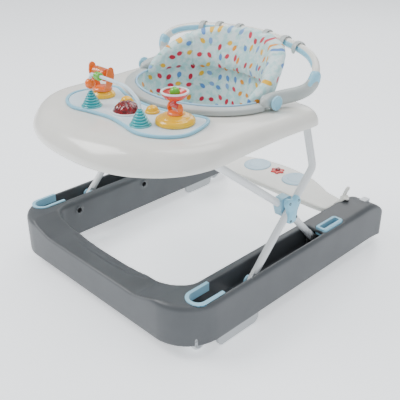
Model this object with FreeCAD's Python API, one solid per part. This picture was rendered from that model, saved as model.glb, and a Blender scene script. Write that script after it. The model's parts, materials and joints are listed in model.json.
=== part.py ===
import FreeCAD, Part
import math
import os

os.makedirs("parts", exist_ok=True)

# Baby walker, millimetres. +X is the child's left-right, -Y is the front, +Z is up.
# The origin is on the floor, under the middle of the walker.

V = FreeCAD.Vector
X_AXIS = V(1, 0, 0)
Y_AXIS = V(0, 1, 0)
Z_AXIS = V(0, 0, 1)
SIDES = {"right": 1, "left": -1}

# ---- driving dimensions: base ----
base_half_width = 300.0
base_front = -312.0
base_rear = 385.0
base_bottom = 28.0
rail_width = 78.0
rail_top = 121.0
front_bar_depth = 67.0
front_bar_drop = 20.0
base_wall = 3.0
front_corner_radius = 90.0
nose_outer_radius = 30.0
nose_inner_radius = 25.0
inner_corner_radius = 40.0
top_edge_radius = 12.0

# ---- rail slot ----
slot_centre_x = 266.5
slot_width = 45.0
slot_front = -270.0
slot_rear = 122.0
trough_floor = 72.0
trough_rear = 142.0
liner_wall = 4.6
liner_depth = 16.0
liner_rear = -200.0
liner_proud = 2.5
fit_gap = 0.2
grip_length = 74.0
grip_width = 28.0
grip_wall = 7.0
grip_depth = 26.0

# ---- wheels ----
wheel_radius = 20.0
wheel_width = 10.5
wheel_gap = 7.0
axle_radius = 2.5
running_gap = 0.05
caster_x = 258.0
caster_y = -254.0
caster_trail = 7.0
stem_radius = 4.0
rear_wheel_x = 262.0
rear_wheel_y = 330.0

# ---- folding frame ----
tube_radius = 8.0
tube_wall = 1.2
outer_leg_x = 275.0
inner_leg_x = 257.0
rear_foot = V(inner_leg_x, 125.0, 95.0)
front_foot = V(outer_leg_x, -108.0, 95.0)
hub = V(outer_leg_x, 8.5, 218.0)
outer_bend = V(outer_leg_x, 78.0, 291.4)
tray_pivot = V(240.0, 88.0, 375.0)
cross_bar = V(223.0, -200.0, 386.0)
tongue_thickness = 8.0
pin_radius = 3.0
hub_pin_radius = 3.5
hub_height = 60.0
hub_depth = 46.0

# ---- tray ----
tray_half_width = 286.0
tray_centre_y = -120.0
tray_front = -385.0
tray_bottom = 350.0
tray_top = 404.0
tray_wall = 3.0
tray_arm_end = 120.0
tray_edge_start = -345.0
tray_edge_corner = -305.0
tray_edge_end = 0.0
tray_corner_lift = 14.0
tray_rear_lift = 22.0
seat_centre_y = 30.0
ring_half_x = 193.0
ring_half_y = 155.0
ring_band = 25.0
ring_height = 15.0
tray_hole_inset = 13.0
seat_depth = 180.0
seat_wall = 5.0
leg_hole_radius = 44.0
leg_hole_x = 62.0

# ---- back rest ----
back_pivot = V(186.0, 35.0, 422.0)
cover_radius = 16.0
hoop_radius = 9.0
hoop_top = 515.0
hoop_rear = 205.0
pad_thickness = 18.0
knob_radius = 15.0

# ---- play panel and toys ----
panel_half_width = 178.0
panel_thickness = 4.0
arch_y = -214.0
arch_half_span = 77.0
arch_height = 68.0
arch_tube_radius = 3.5
spring_height = 32.0
toy_x = 114.0
toy_y = -158.0
toy_height = 62.0
dome_radius = 28.0
dome_y = -184.0
button_radius = 15.0
button_x = 40.0
button_y = -152.0

# ---- rear foot panel ----
foot_panel_z = 99.0
foot_panel_thickness = 12.0
foot_panel_front = 228.0
foot_panel_rear = 362.0
foot_pad_x = 66.0
foot_pad_y = 311.0
flower_radius = 20.0


def save(name, shape):
    """Write one node as a STEP file."""
    shape.exportStep("parts/" + name + ".step")
    print(name, len(shape.Solids), round(shape.Volume / 1000.0, 2), shape.isValid())


def box(x0, x1, y0, y1, z0, z1):
    """Box between two corners, given axis by axis."""
    low = V(min(x0, x1), min(y0, y1), min(z0, z1))
    return Part.makeBox(abs(x1 - x0), abs(y1 - y0), abs(z1 - z0), low)


def rod(centre, radius, length, axis):
    """Cylinder of a length centred on a point."""
    return Part.makeCylinder(radius, length, centre - axis * (length / 2.0), axis)


def mirrored(shape):
    """The same piece on the other side of the walker."""
    return shape.mirror(V(0, 0, 0), X_AXIS)


def on_side(shape, sign):
    """A right-hand piece, or its mirror on the left."""
    if sign > 0:
        return shape
    return mirrored(shape)


def both_sides(shape):
    """The right-hand piece and its mirror as one group of solids."""
    return Part.makeCompound([shape, mirrored(shape)])


def save_pair(name, shape):
    """Save the right-hand piece and its mirror as two nodes."""
    for side, sign in SIDES.items():
        save(name + "_" + side, on_side(shape, sign))


def unit(vector):
    """Copy of a vector with length one."""
    copy = V(vector)
    copy.normalize()
    return copy


def corner_arc(before, corner, after, radius):
    """End points and middle of the arc that rounds one corner."""
    into = unit(corner - before)
    out = unit(after - corner)
    turn = into.getAngle(out)
    trim = radius * math.tan(turn / 2.0)
    bulge = radius * (1.0 / math.cos(turn / 2.0) - 1.0)
    return corner - into * trim, corner + unit(out - into) * bulge, corner + out * trim


def rounded_path(points, radius):
    """Straight runs joined by tangent arcs, as one open wire."""
    edges = []
    start = points[0]
    for before, corner, after in zip(points, points[1:], points[2:]):
        first, middle, last = corner_arc(before, corner, after, radius)
        edges.append(Part.LineSegment(start, first).toShape())
        edges.append(Part.Arc(first, middle, last).toShape())
        start = last
    edges.append(Part.LineSegment(start, points[-1]).toShape())
    return Part.Wire(edges)


def rounded_outline(corners):
    """Closed wire in a level plane from (point, radius) corners."""
    edges = []
    count = len(corners)
    arcs = []
    for index, (corner, radius) in enumerate(corners):
        before = corners[index - 1][0]
        after = corners[(index + 1) % count][0]
        arcs.append(corner_arc(before, corner, after, radius))
    for index, (first, middle, last) in enumerate(arcs):
        edges.append(Part.Arc(first, middle, last).toShape())
        edges.append(Part.LineSegment(last, arcs[(index + 1) % count][0]).toShape())
    return Part.Wire(edges)


def swept(path, radius):
    """Round bar along a path."""
    first = path.Edges[0]
    tangent = first.tangentAt(first.FirstParameter)
    ring = Part.Wire(Part.makeCircle(radius, first.valueAt(first.FirstParameter), tangent))
    return path.makePipeShell([ring], True, False)


def bent_tube(points, bend_radius, radius, wall):
    """Hollow tube along straight runs and arcs."""
    path = rounded_path(points, bend_radius)
    return swept(path, radius).cut(swept(path, radius - wall))


def ellipse_wire(centre, half_x, half_y):
    """Level ellipse about a centre."""
    curve = Part.Ellipse(V(0, 0, 0), max(half_x, half_y), min(half_x, half_y))
    wire = Part.Wire(curve.toShape())
    if half_y > half_x:
        wire.rotate(V(0, 0, 0), Z_AXIS, 90)
    wire.translate(centre)
    return wire


def ellipse_block(centre, half_x, half_y, height):
    """Upright block with an elliptical plan."""
    return Part.Face(ellipse_wire(centre, half_x, half_y)).extrude(V(0, 0, height))


def turned(centre, outline):
    """Solid of revolution about a vertical axis from (radius, height) points."""
    points = [centre + V(radius, 0, height) for radius, height in outline]
    wire = Part.makePolygon(points + [points[0]])
    return Part.Face(wire).revolve(centre, Z_AXIS, 360)


def dome(centre, radius, height):
    """Cap of a ball standing on its flat face."""
    ball_radius = (radius * radius + height * height) / (2.0 * height)
    middle = centre - V(0, 0, ball_radius - height)
    slab = Part.makeCylinder(radius, height, centre, Z_AXIS)
    return Part.makeSphere(ball_radius, middle).common(slab)


def round_edges(solid, edges, radius):
    """Fillet a chosen set of edges."""
    return solid.makeFillet(radius, edges)


def rim_edges(solid):
    """Edges where an upward face meets a side wall."""
    seen = {}
    for face in solid.Faces:
        low_u, high_u, low_v, high_v = face.ParameterRange
        normal = face.normalAt((low_u + high_u) / 2.0, (low_v + high_v) / 2.0)
        if normal.z > 0.4:
            for edge in face.Edges:
                key = edge.hashCode()
                seen.setdefault(key, []).append(edge)
    return [group[0] for group in seen.values() if len(group) == 1]


# ---------------------------------------------------------------- base
rail_inner = base_half_width - rail_width
bar_rear = base_front + front_bar_depth


def base_outline(inset, z):
    """U-shaped plan of the base, drawn inside its wall by the inset."""
    outer = base_half_width - inset
    inner = rail_inner + inset
    front = base_front + inset
    rear = base_rear - inset
    inside = bar_rear - inset
    right = [(V(outer, front, z), front_corner_radius - inset), (V(outer, rear, z), nose_outer_radius - inset),
             (V(inner, rear, z), nose_inner_radius - inset), (V(inner, inside, z), inner_corner_radius + inset)]
    left = [(V(-point.x, point.y, point.z), radius) for point, radius in reversed(right)]
    return rounded_outline(right + left)


def level_block(inset, bottom, top):
    """U-shaped block of one height with rounded upper edges."""
    block = Part.Face(base_outline(inset, bottom)).extrude(V(0, 0, top - bottom))
    return round_edges(block, rim_edges(block), top_edge_radius - inset)


def base_block(inset, bottom, top):
    """Closed block of the base: high rails that run down to a lower front bar."""
    reach = rail_inner - 72.0
    low = top - front_bar_drop
    rise = 4.0 * front_bar_drop
    run = 4.0 * 65.0
    profile = [(V(-reach - run, 0, low + rise), 5.0), (V(-reach, 0, low), 60.0),
               (V(reach, 0, low), 60.0), (V(reach + run, 0, low + rise), 5.0)]
    dip = Part.Face(rounded_outline(profile)).extrude(V(0, 160, 0))
    dip.translate(V(0, base_front - 20, 0))
    rails = level_block(inset, bottom, top).cut(dip)
    return rails.fuse(level_block(inset, bottom, low)).removeSplitter()


def slot_box(grow, bottom, top):
    """Space of the rail slot, or the block around it when grown."""
    half = slot_width / 2.0 + grow
    round_y = slot_front + slot_width / 2.0
    straight = box(slot_centre_x - half, slot_centre_x + half, round_y, trough_rear + grow, bottom, top)
    end = Part.makeCylinder(half, top - bottom, V(slot_centre_x, round_y, bottom), Z_AXIS)
    return straight.fuse(end).removeSplitter()


grip_x = slot_centre_x + 10.5
grip_y = slot_rear + 2.0 + grip_length / 2.0
grip_base = rail_top - grip_depth


def grip_block(length, width, corner, bottom, top):
    """Rounded rectangular block at the rear grip."""
    half_l = length / 2.0
    half_w = width / 2.0
    signs = [(1, -1), (1, 1), (-1, 1), (-1, -1)]
    corners = [(V(grip_x + sx * half_w, grip_y + sy * half_l, bottom), corner) for sx, sy in signs]
    return Part.Face(rounded_outline(corners)).extrude(V(0, 0, top - bottom))


def make_base_shell():
    """Hollow U-shaped moulding, open underneath."""
    shell = base_block(0.0, base_bottom, rail_top)
    outer_skin = shell.copy()
    cavity = base_block(base_wall, base_bottom - 1.0, rail_top - base_wall)
    trough_wall = slot_box(base_wall, trough_floor - base_wall, rail_top + 5)
    grip_wall_block = grip_block(grip_length + 5, grip_width + 5, 9.0, grip_base - 3.0, rail_top + 5)
    boss = Part.makeCylinder(11.0, rail_top - 52.0, V(caster_x, caster_y, 52.0), Z_AXIS)
    boss = boss.cut(slot_box(0.0, trough_floor, rail_top + 5))
    solid_parts = [trough_wall, grip_wall_block, boss]
    for part in solid_parts:
        cavity = cavity.cut(part)
        cavity = cavity.cut(mirrored(part))
    shell = shell.cut(cavity)
    slot = slot_box(0.0, trough_floor, rail_top + 5)
    roof = box(slot_centre_x - slot_width, slot_centre_x + slot_width, slot_rear, trough_rear + 5,
               rail_top - 9.0, rail_top + 6)
    slot = slot.cut(roof)
    grip_pocket = grip_block(grip_length - 2 * grip_wall + 2 * base_wall, grip_width - 2 * grip_wall + 6, 5.0,
                             grip_base, rail_top + 5)
    grip_seat = grip_block(grip_length + 2 * fit_gap, grip_width + 2 * fit_gap, 8.0, rail_top - 14.0, rail_top + 5)
    stem_hole = Part.makeCylinder(stem_radius + running_gap, 21.0, V(caster_x, caster_y, 51.0), Z_AXIS)
    wheel_sweep = Part.makeCylinder(31.2, 26.0, V(caster_x, caster_y, base_bottom - 8), Z_AXIS)
    tools = [slot, grip_pocket, grip_seat, stem_hole, wheel_sweep]
    for drain_y in (-200.0, -160.0):
        half = slot_width / 2.0 - 5.0
        tools.append(box(slot_centre_x - half, slot_centre_x + half, drain_y, drain_y + 30.0, 60.0, 80.0))
    collars = []
    for hole_y in (-176.0, 31.0):
        centre = V(rail_inner - 1.0, hole_y, 94.0)
        collars.append(rod(centre, 10.0, 6.0, X_AXIS))
        tools.append(rod(centre, 6.5, 14.0, X_AXIS))
    for collar in collars:
        shell = shell.fuse([collar, mirrored(collar)])
    for tool in tools:
        shell = shell.cut(tool)
        shell = shell.cut(mirrored(tool))
    scoop = Part.makeSphere(1.0)
    stretch = FreeCAD.Matrix()
    stretch.scale(V(130.0, 20.0, 11.0))
    scoop = scoop.transformGeometry(stretch)
    scoop.translate(V(0, bar_rear - 10.0, rail_top - front_bar_drop + 2.0))
    dish = scoop.copy()
    dish.translate(V(0, 0, -base_wall))
    floor_skin = dish.cut(scoop).common(outer_skin)
    return shell.fuse(floor_skin).cut(scoop).removeSplitter()


base_shell = make_base_shell()
save("base_shell", base_shell)


def slot_end(half, bottom, top):
    """Round-ended block over the front stretch of the slot."""
    round_y = slot_front + slot_width / 2.0
    straight = box(slot_centre_x - half, slot_centre_x + half, round_y, liner_rear, bottom, top)
    return straight.fuse(Part.makeCylinder(half, top - bottom, V(slot_centre_x, round_y, bottom), Z_AXIS))


def make_front_liner():
    """U-shaped sleeve round the front end of the slot, with a thin flange."""
    half = slot_width / 2.0 - fit_gap
    sleeve = slot_end(half, rail_top - liner_depth, rail_top + liner_proud)
    flange = slot_end(half + 3.0, rail_top, rail_top + liner_proud)
    opening = slot_end(half - liner_wall, rail_top - liner_depth - 1, rail_top + 10)
    opening = opening.fuse(box(slot_centre_x - half + liner_wall, slot_centre_x + half - liner_wall,
                               liner_rear - 5, liner_rear + 5, rail_top - liner_depth - 1, rail_top + 10))
    return sleeve.fuse(flange).cut(opening).removeSplitter()


save("front_slot_liners", both_sides(make_front_liner()))


def make_grip_liner():
    """Closed rectangular grip sunk in the rail behind the slot."""
    body = grip_block(grip_length, grip_width, 8.0, rail_top - 14.0, rail_top + 4.0)
    top_edges = [edge for edge in body.Edges if all(abs(v.Z - rail_top - 4.0) < 1e-6 for v in edge.Vertexes)]
    body = round_edges(body, top_edges, 2.0)
    hole = grip_block(grip_length - 2 * grip_wall, grip_width - 2 * grip_wall, 3.0, rail_top - 20.0, rail_top + 9.0)
    return body.cut(hole)


save("rear_grip_liners", both_sides(make_grip_liner()))


def make_foot_socket():
    """Two cheeks on a plate that carry the inner leg's lower end, with the pin between them."""
    inside = tongue_thickness / 2.0 + 0.4
    outside = inside + 4.0
    low = trough_floor + 0.1
    plate = box(rear_foot.x - outside, rear_foot.x + outside, rear_foot.y - 14, rear_foot.y + 14, low, low + 5)
    cheeks = []
    for sign in (-1, 1):
        cheek = box(rear_foot.x + sign * inside, rear_foot.x + sign * outside, rear_foot.y - 9, rear_foot.y + 9,
                    low, rear_foot.z + 9)
        cheeks.append(cheek)
    socket = plate.fuse(cheeks)
    return socket.cut(rod(rear_foot, pin_radius, 40.0, X_AXIS)).removeSplitter()


save("rear_foot_sockets", both_sides(make_foot_socket()))
save("rear_foot_pins", both_sides(rod(rear_foot, pin_radius, 2 * (tongue_thickness / 2.0 + 4.4), X_AXIS)))


def make_stopper(x_inner, x_outer, y_front, y_rear):
    """Upright plate inside the base wall with a rubber-soled lower edge."""
    plate = box(x_inner, x_outer, y_front, y_rear, 5.0, 62.0)
    ends = [edge for edge in plate.Edges if abs(edge.tangentAt(edge.FirstParameter).x) > 0.9
            and edge.Vertexes[0].Z < 10]
    return round_edges(plate, ends, 14.0)


stopper_thickness = 7.0
outer_wall_face = base_half_width - base_wall - fit_gap
inner_wall_face = rail_inner + base_wall + fit_gap
front_stopper = make_stopper(outer_wall_face - stopper_thickness, outer_wall_face, -222.0, -102.0)
rear_stopper = make_stopper(inner_wall_face, inner_wall_face + stopper_thickness, 190.0, 290.0)
save("stoppers", both_sides(Part.makeCompound([front_stopper, rear_stopper])))


def make_screw(head, axis):
    """Pan-head screw whose head rests at a point."""
    shank = Part.makeCylinder(2.0, 9.0, head, axis)
    cap = Part.makeCylinder(4.0, 2.4, head - axis * 2.4, axis)
    cross = rod(head - axis * 2.4, 1.1, 2.2, axis)
    return shank.fuse(cap).cut(cross)


stopper_screws = []
for screw_y in (-200.0, -124.0):
    stopper_screws.append(make_screw(V(outer_wall_face - stopper_thickness, screw_y, 52.0), X_AXIS))
for screw_y in (206.0, 274.0):
    stopper_screws.append(make_screw(V(inner_wall_face + stopper_thickness, screw_y, 52.0), -X_AXIS))
save("stopper_screws", both_sides(Part.makeCompound(stopper_screws)))

# ---------------------------------------------------------------- wheels
wheel_half_span = wheel_gap / 2.0 + wheel_width


def twin_wheels(centre):
    """Two hollow-faced wheels side by side."""
    wheels = []
    for sign in (-1, 1):
        middle = centre + X_AXIS * (sign * (wheel_gap + wheel_width) / 2.0)
        wheel = rod(middle, wheel_radius, wheel_width, X_AXIS)
        rims = [edge for edge in wheel.Edges if len(edge.Vertexes) == 1]
        wheel = round_edges(wheel, rims, 2.0)
        face_point = middle + X_AXIS * (sign * wheel_width / 2.0)
        groove = rod(face_point, 14.0, 5.0, X_AXIS).cut(rod(face_point, 6.0, 5.0, X_AXIS))
        wheel = wheel.cut(groove).cut(rod(middle, axle_radius + running_gap, 60.0, X_AXIS))
        wheels.append(wheel)
    return Part.makeCompound(wheels)


def wheel_web(centre, top):
    """Upright web between the two wheels, bored for the axle."""
    half = wheel_gap / 2.0 - 0.5
    web = rod(centre, 8.0, 2 * half, X_AXIS)
    web = web.fuse(box(centre.x - half, centre.x + half, centre.y - 7.5, centre.y + 7.5, centre.z, top))
    return web.cut(rod(centre, axle_radius, 60.0, X_AXIS))


caster_wheel = V(caster_x, caster_y + caster_trail, wheel_radius)
fork_plate_low = 2 * wheel_radius + 2.0


def make_caster_fork():
    """Swivel fork: web, round plate and stem."""
    plate = Part.makeCylinder(13.0, 4.0, V(caster_x, caster_y, fork_plate_low), Z_AXIS)
    plate = plate.fuse(box(caster_x - 3, caster_x + 3, caster_y, caster_y + 16, fork_plate_low, fork_plate_low + 4))
    web = wheel_web(caster_wheel, fork_plate_low + 2.0)
    stubs = rod(caster_wheel, axle_radius, 2 * wheel_half_span - 1, X_AXIS)
    collar = Part.makeCylinder(7.0, 51.5 - fork_plate_low, V(caster_x, caster_y, fork_plate_low), Z_AXIS)
    stem = Part.makeCylinder(stem_radius, 70.5 - fork_plate_low, V(caster_x, caster_y, fork_plate_low), Z_AXIS)
    return plate.fuse([web, stubs, collar, stem]).removeSplitter()


save_pair("caster_fork", make_caster_fork())
save_pair("caster_wheels", twin_wheels(caster_wheel))

rear_wheel = V(rear_wheel_x, rear_wheel_y, wheel_radius)


def make_rear_bracket():
    """Fixed wheel bracket hung from the roof of the rail."""
    plate = box(rear_wheel_x - 14, rear_wheel_x + 14, rear_wheel_y - 20, rear_wheel_y + 20, 44.0, 48.0)
    post = box(rear_wheel_x - 8, rear_wheel_x + 8, rear_wheel_y - 12, rear_wheel_y + 12, 48.0,
               rail_top - base_wall - fit_gap)
    return plate.fuse([post, wheel_web(rear_wheel, 46.0)]).removeSplitter()


save("rear_wheel_brackets", both_sides(make_rear_bracket()))
save("rear_axles", both_sides(rod(rear_wheel, axle_radius, 2 * wheel_half_span - 1, X_AXIS)))
save_pair("rear_wheels", twin_wheels(rear_wheel))

# ---------------------------------------------------------------- folding frame
hub_inner = V(inner_leg_x, hub.y, hub.z)


def tongue(pivot, towards, length):
    """Flattened tube end with an eye at the pivot."""
    eye = rod(pivot, tube_radius, tongue_thickness, X_AXIS)
    blade = box(-tongue_thickness / 2.0, tongue_thickness / 2.0, -tube_radius, tube_radius, 0, length)
    direction = towards - pivot
    angle = math.degrees(math.atan2(direction.z, direction.y)) - 90.0
    blade.rotate(V(0, 0, 0), X_AXIS, angle)
    blade.translate(pivot)
    return eye.fuse(blade)


def along(start, end, distance):
    """Point a distance from start towards end."""
    return start + unit(end - start) * distance


def make_outer_leg():
    """Tube from the sliding foot over the hub, bent upright to the tray pivot."""
    start = along(front_foot, hub, 18.0)
    end = V(tray_pivot.x + 6.0, tray_pivot.y, tray_pivot.z - 11.0)
    tube = bent_tube([start, outer_bend, end], 26.0, tube_radius, tube_wall)
    foot = tongue(front_foot, hub, 26.0)
    eye = rod(tray_pivot, 9.0, 12.0, X_AXIS)
    plug_way = unit(end - outer_bend)
    plug = Part.makeCylinder(tube_radius - 0.1, 15.0, end - plug_way * 7.0, plug_way)
    leg = tube.fuse([foot, eye, plug])
    holes = [rod(front_foot, pin_radius + running_gap, 40.0, X_AXIS), rod(hub, hub_pin_radius, 40.0, X_AXIS),
             rod(tray_pivot, pin_radius + running_gap, 40.0, X_AXIS)]
    for hole in holes:
        leg = leg.cut(hole)
    return leg.removeSplitter()


def make_inner_leg():
    """Tube from the rear foot over the hub to the cross bar under the tray."""
    start = along(rear_foot, hub_inner, 18.0)
    end = V(cross_bar.x - 28.0, cross_bar.y, cross_bar.z)
    tube = bent_tube([start, hub_inner, cross_bar, end], 22.0, tube_radius, tube_wall)
    foot = tongue(rear_foot, hub_inner, 26.0)
    leg = tube.fuse(foot)
    leg = leg.cut(rod(rear_foot, pin_radius + running_gap, 40.0, X_AXIS))
    return leg.cut(rod(hub_inner, hub_pin_radius + running_gap, 40.0, X_AXIS)).removeSplitter()


outer_leg = make_outer_leg()
inner_leg = make_inner_leg()
save("outer_legs", both_sides(outer_leg))
save("inner_legs", both_sides(inner_leg))
bar_end = cross_bar.x - 28.0
bar = rod(V(0, cross_bar.y, cross_bar.z), tube_radius, 2 * bar_end, X_AXIS)
save("cross_bar", bar.cut(rod(V(0, cross_bar.y, cross_bar.z), tube_radius - tube_wall, 2 * bar_end, X_AXIS)))

lane_split = (outer_leg_x + inner_leg_x) / 2.0


def hub_outline(height, depth, x):
    """Bow-tie outline of the hub cover in the side plane."""
    half_h = height / 2.0
    half_d = depth / 2.0
    shape = [(0.55, 1.0), (-0.75, 1.0), (-1.0, 0.15), (-0.6, -0.75), (0.0, -1.0), (0.5, -0.8), (0.85, 0.0), (1.0, 0.75)]
    points = [V(x, hub.y + half_d * y, hub.z + half_h * z) for y, z in shape]
    return rounded_outline([(point, 4.0) for point in points])


def make_hub_cover():
    """Cover moulded round the outer tube at the crossing."""
    inside = lane_split + 0.5
    outside = outer_leg_x + tube_radius + 5.5
    cover = Part.Face(hub_outline(hub_height, hub_depth, inside)).extrude(V(outside - inside, 0, 0))
    path = rounded_path([front_foot, outer_bend, outer_bend + Z_AXIS * 60.0], 20.0)
    cover = cover.cut(swept(path, tube_radius))
    return cover.cut(rod(hub, hub_pin_radius, 20.0, X_AXIS))


def make_inner_hub():
    """Smaller clip round the inner tube, facing the cover."""
    inside = inner_leg_x - tube_radius - 2.5
    outside = lane_split - 0.5
    clip = Part.Face(hub_outline(hub_height * 0.78, hub_depth * 0.8, inside)).extrude(V(outside - inside, 0, 0))
    path = rounded_path([rear_foot, hub_inner, cross_bar], 22.0)
    clip = clip.cut(swept(path, tube_radius))
    return clip.cut(rod(hub_inner, hub_pin_radius + running_gap, 40.0, X_AXIS))


save("hub_covers", both_sides(make_hub_cover()))
save("inner_hub_clips", both_sides(make_inner_hub()))
hub_pin_inner = inner_leg_x - tube_radius - 4.0
hub_pin_outer = outer_leg_x + tube_radius + 2.0
hub_pin_middle = V((hub_pin_inner + hub_pin_outer) / 2.0, hub.y, hub.z)
save("hub_pins", both_sides(rod(hub_pin_middle, hub_pin_radius, hub_pin_outer - hub_pin_inner, X_AXIS)))


def make_foot_clip():
    """Sliding shoe that carries the outer leg's lower end in the slot."""
    inside = tongue_thickness / 2.0 + 0.3
    outside = tube_radius + 0.3
    low = trough_floor + 2.0
    shoe = box(front_foot.x - outside, front_foot.x + outside, front_foot.y - 13, front_foot.y + 13, low, low + 9)
    cheeks = []
    for sign in (-1, 1):
        cheek = rod(front_foot + X_AXIS * (sign * (inside + outside) / 2.0), 11.0, outside - inside, X_AXIS)
        skirt = box(front_foot.x + sign * inside, front_foot.x + sign * outside, front_foot.y - 11,
                    front_foot.y + 11, low, front_foot.z)
        cheeks.extend([cheek, skirt])
    clip = shoe.fuse(cheeks)
    return clip.cut(rod(front_foot, pin_radius, 40.0, X_AXIS)).removeSplitter()


save("sliding_feet", both_sides(make_foot_clip()))
save("sliding_foot_pins", both_sides(rod(front_foot, pin_radius, 2 * (tube_radius + 0.3), X_AXIS)))

# ---------------------------------------------------------------- tray


def tray_outline(half_width, front, power, arm_end, z):
    """Plan of the tray: broad rounded front, straight-sided arms to the rear."""
    depth = tray_centre_y - front
    points = []
    steps = 14
    for step in range(steps + 1):
        angle = math.pi * step / steps
        cos_part = abs(math.cos(angle)) ** (2.0 / power)
        sin_part = abs(math.sin(angle)) ** (2.0 / power)
        side = 1.0 if step < steps / 2.0 else -1.0
        points.append(V(side * half_width * cos_part, tray_centre_y - depth * sin_part, z))
    spline = Part.BSplineCurve()
    spline.interpolate(Points=points, InitialTangent=V(0, -1, 0), FinalTangent=V(0, 1, 0))
    arm_x = half_width - 22.0
    corner = 26.0
    low_right = V(-half_width, tray_centre_y, z)
    bow = V(-half_width + 5.5, (tray_centre_y + arm_end - corner) / 2.0, z)
    arm_left = V(-arm_x, arm_end - corner, z)
    cap_left = V(-arm_x + corner * 0.3, arm_end - corner * 0.3, z)
    rear_left = V(-arm_x + corner, arm_end, z)
    rear_right = V(-rear_left.x, rear_left.y, z)
    edges = [spline.toShape(), Part.Arc(low_right, bow, arm_left).toShape(),
             Part.Arc(arm_left, cap_left, rear_left).toShape(), Part.LineSegment(rear_left, rear_right).toShape(),
             Part.Arc(rear_right, V(-cap_left.x, cap_left.y, z), V(arm_x, arm_left.y, z)).toShape(),
             Part.Arc(V(arm_x, arm_left.y, z), V(-bow.x, bow.y, z), V(half_width, tray_centre_y, z)).toShape()]
    return Part.Wire(edges)


def tray_block(inset, bottom, top):
    """Closed bumper-shaped block of the tray."""
    levels = [(0.0, 30.0, 58.0, 2.5), (0.33, 9.0, 28.0, 2.35), (0.66, 0.0, 0.0, 2.2), (0.9, 7.0, 8.0, 2.2),
              (1.0, 26.0, 26.0, 2.2)]
    wires = []
    for share, side_in, front_in, power in levels:
        z = bottom + (top - bottom) * share
        wires.append(tray_outline(tray_half_width - side_in - inset, tray_front + front_in + inset, power,
                                  tray_arm_end - inset - side_in * 0.5, z))
    return Part.makeLoft(wires, True, False)


def seat_well(grow, bottom, top):
    """Seat opening, run out to the rear between the arms."""
    half_x = ring_half_x - tray_hole_inset + grow
    half_y = ring_half_y - tray_hole_inset + grow
    hole = ellipse_block(V(0, seat_centre_y, bottom), half_x, half_y, top - bottom)
    return hole.fuse(box(-half_x, half_x, seat_centre_y, seat_centre_y + 300, bottom, top))


housing_half_x = 60.0
housing_front = -184.0
housing_rear = -132.0


def lower_edge_tool():
    """Block below the tray's lower edge, which climbs from the front to the rear."""
    far_x = 2.0 * tray_half_width
    far_y = 2.0 * tray_arm_end
    below = tray_bottom - 10.0
    rear_z = tray_bottom + tray_rear_lift
    side = [V(-far_x, tray_edge_start, below), V(-far_x, tray_edge_start, tray_bottom),
            V(-far_x, tray_edge_corner, tray_bottom + tray_corner_lift), V(-far_x, tray_edge_end, rear_z),
            V(-far_x, far_y, rear_z), V(-far_x, far_y, below)]
    return Part.Face(Part.makePolygon(side + [side[0]])).extrude(V(2 * far_x, 0, 0))


def make_tray_shell():
    """Hollow tray with rounded bumper, open underneath."""
    outer = tray_block(0.0, tray_bottom, tray_top)
    cavity = tray_block(tray_wall, tray_bottom - 1.0, tray_top - tray_wall)
    cavity = cavity.cut(seat_well(tray_wall, tray_bottom - 5, tray_top + 5))
    shell = outer.cut(cavity).cut(seat_well(0.0, tray_bottom - 5, tray_top + 5))
    shell = shell.cut(lower_edge_tool())
    music_hole = box(-housing_half_x - fit_gap, housing_half_x + fit_gap, housing_front - fit_gap,
                     housing_rear + fit_gap, tray_top - 10, tray_top + 5)
    return shell.cut(music_hole).removeSplitter()


tray_shell = make_tray_shell()
save("tray_shell", tray_shell)

ring_end_y = back_pivot.y - cover_radius - 3.0


def ring_block(outer_gap, inner_gap, bottom, height):
    """Elliptical band of the seat ring."""
    outer = ellipse_block(V(0, seat_centre_y, bottom), ring_half_x - outer_gap, ring_half_y - outer_gap, height)
    inner_x = ring_half_x - ring_band + inner_gap
    inner_y = ring_half_y - ring_band + inner_gap
    inner = ellipse_block(V(0, seat_centre_y, bottom - 1), inner_x, inner_y, height + 2)
    return outer.cut(inner)


ring_bottom = tray_top
seat_ring = ring_block(0.0, 0.0, ring_bottom, ring_height)
ring_tops = [edge for edge in seat_ring.Edges if abs(edge.CenterOfMass.z - ring_bottom - ring_height) < 1e-6]
seat_ring = round_edges(seat_ring, ring_tops, 5.0)
seat_ring = seat_ring.common(box(-400, 400, -400, ring_end_y, 300, 500))
save("seat_ring", seat_ring)

sling_top = ring_bottom + ring_height + 1.0
sling_levels = [(0.0, 0.0, 0.0), (0.25, 8.0, 2.0), (0.5, 20.0, 5.0), (0.75, 44.0, 9.0), (0.93, 80.0, 12.0), (1.0, 104.0, 14.0)]


def sling_block(inset, top, bottom):
    """Bowl-shaped block of the seat sling."""
    wires = []
    for share, narrow, back in sling_levels:
        z = top + (bottom - top) * share
        half_x = ring_half_x - ring_band - 1.0 - narrow - inset
        half_y = ring_half_y - ring_band - 1.0 - narrow * 0.82 - inset
        wires.append(ellipse_wire(V(0, seat_centre_y + back, z), half_x, half_y))
    return Part.makeLoft(wires, True, False)


def make_seat_sling():
    """Cloth sling seat: open bowl with two leg holes."""
    sling = sling_block(0.0, sling_top, sling_top - seat_depth)
    sling = sling.cut(sling_block(seat_wall, sling_top + 0.5, sling_top - seat_depth + seat_wall))
    for sign in (-1, 1):
        hole = Part.makeCylinder(leg_hole_radius, 160.0, V(sign * leg_hole_x, -140.0, sling_top - 118.0), Y_AXIS)
        sling = sling.cut(hole)
    return sling.removeSplitter()


save("seat_sling", make_seat_sling())


def make_tray_clip():
    """Pivot clip under the tray that carries the outer leg's top end."""
    inside = tray_pivot.x - 6.5
    block = box(inside - 12.0, inside, tray_pivot.y - 13, tray_pivot.y + 13, tray_pivot.z, tray_top - tray_wall - 0.5)
    block = block.fuse(rod(V(inside - 6.0, tray_pivot.y, tray_pivot.z), 13.0, 12.0, X_AXIS))
    return block.cut(rod(tray_pivot, pin_radius, 60.0, X_AXIS)).removeSplitter()


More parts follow.
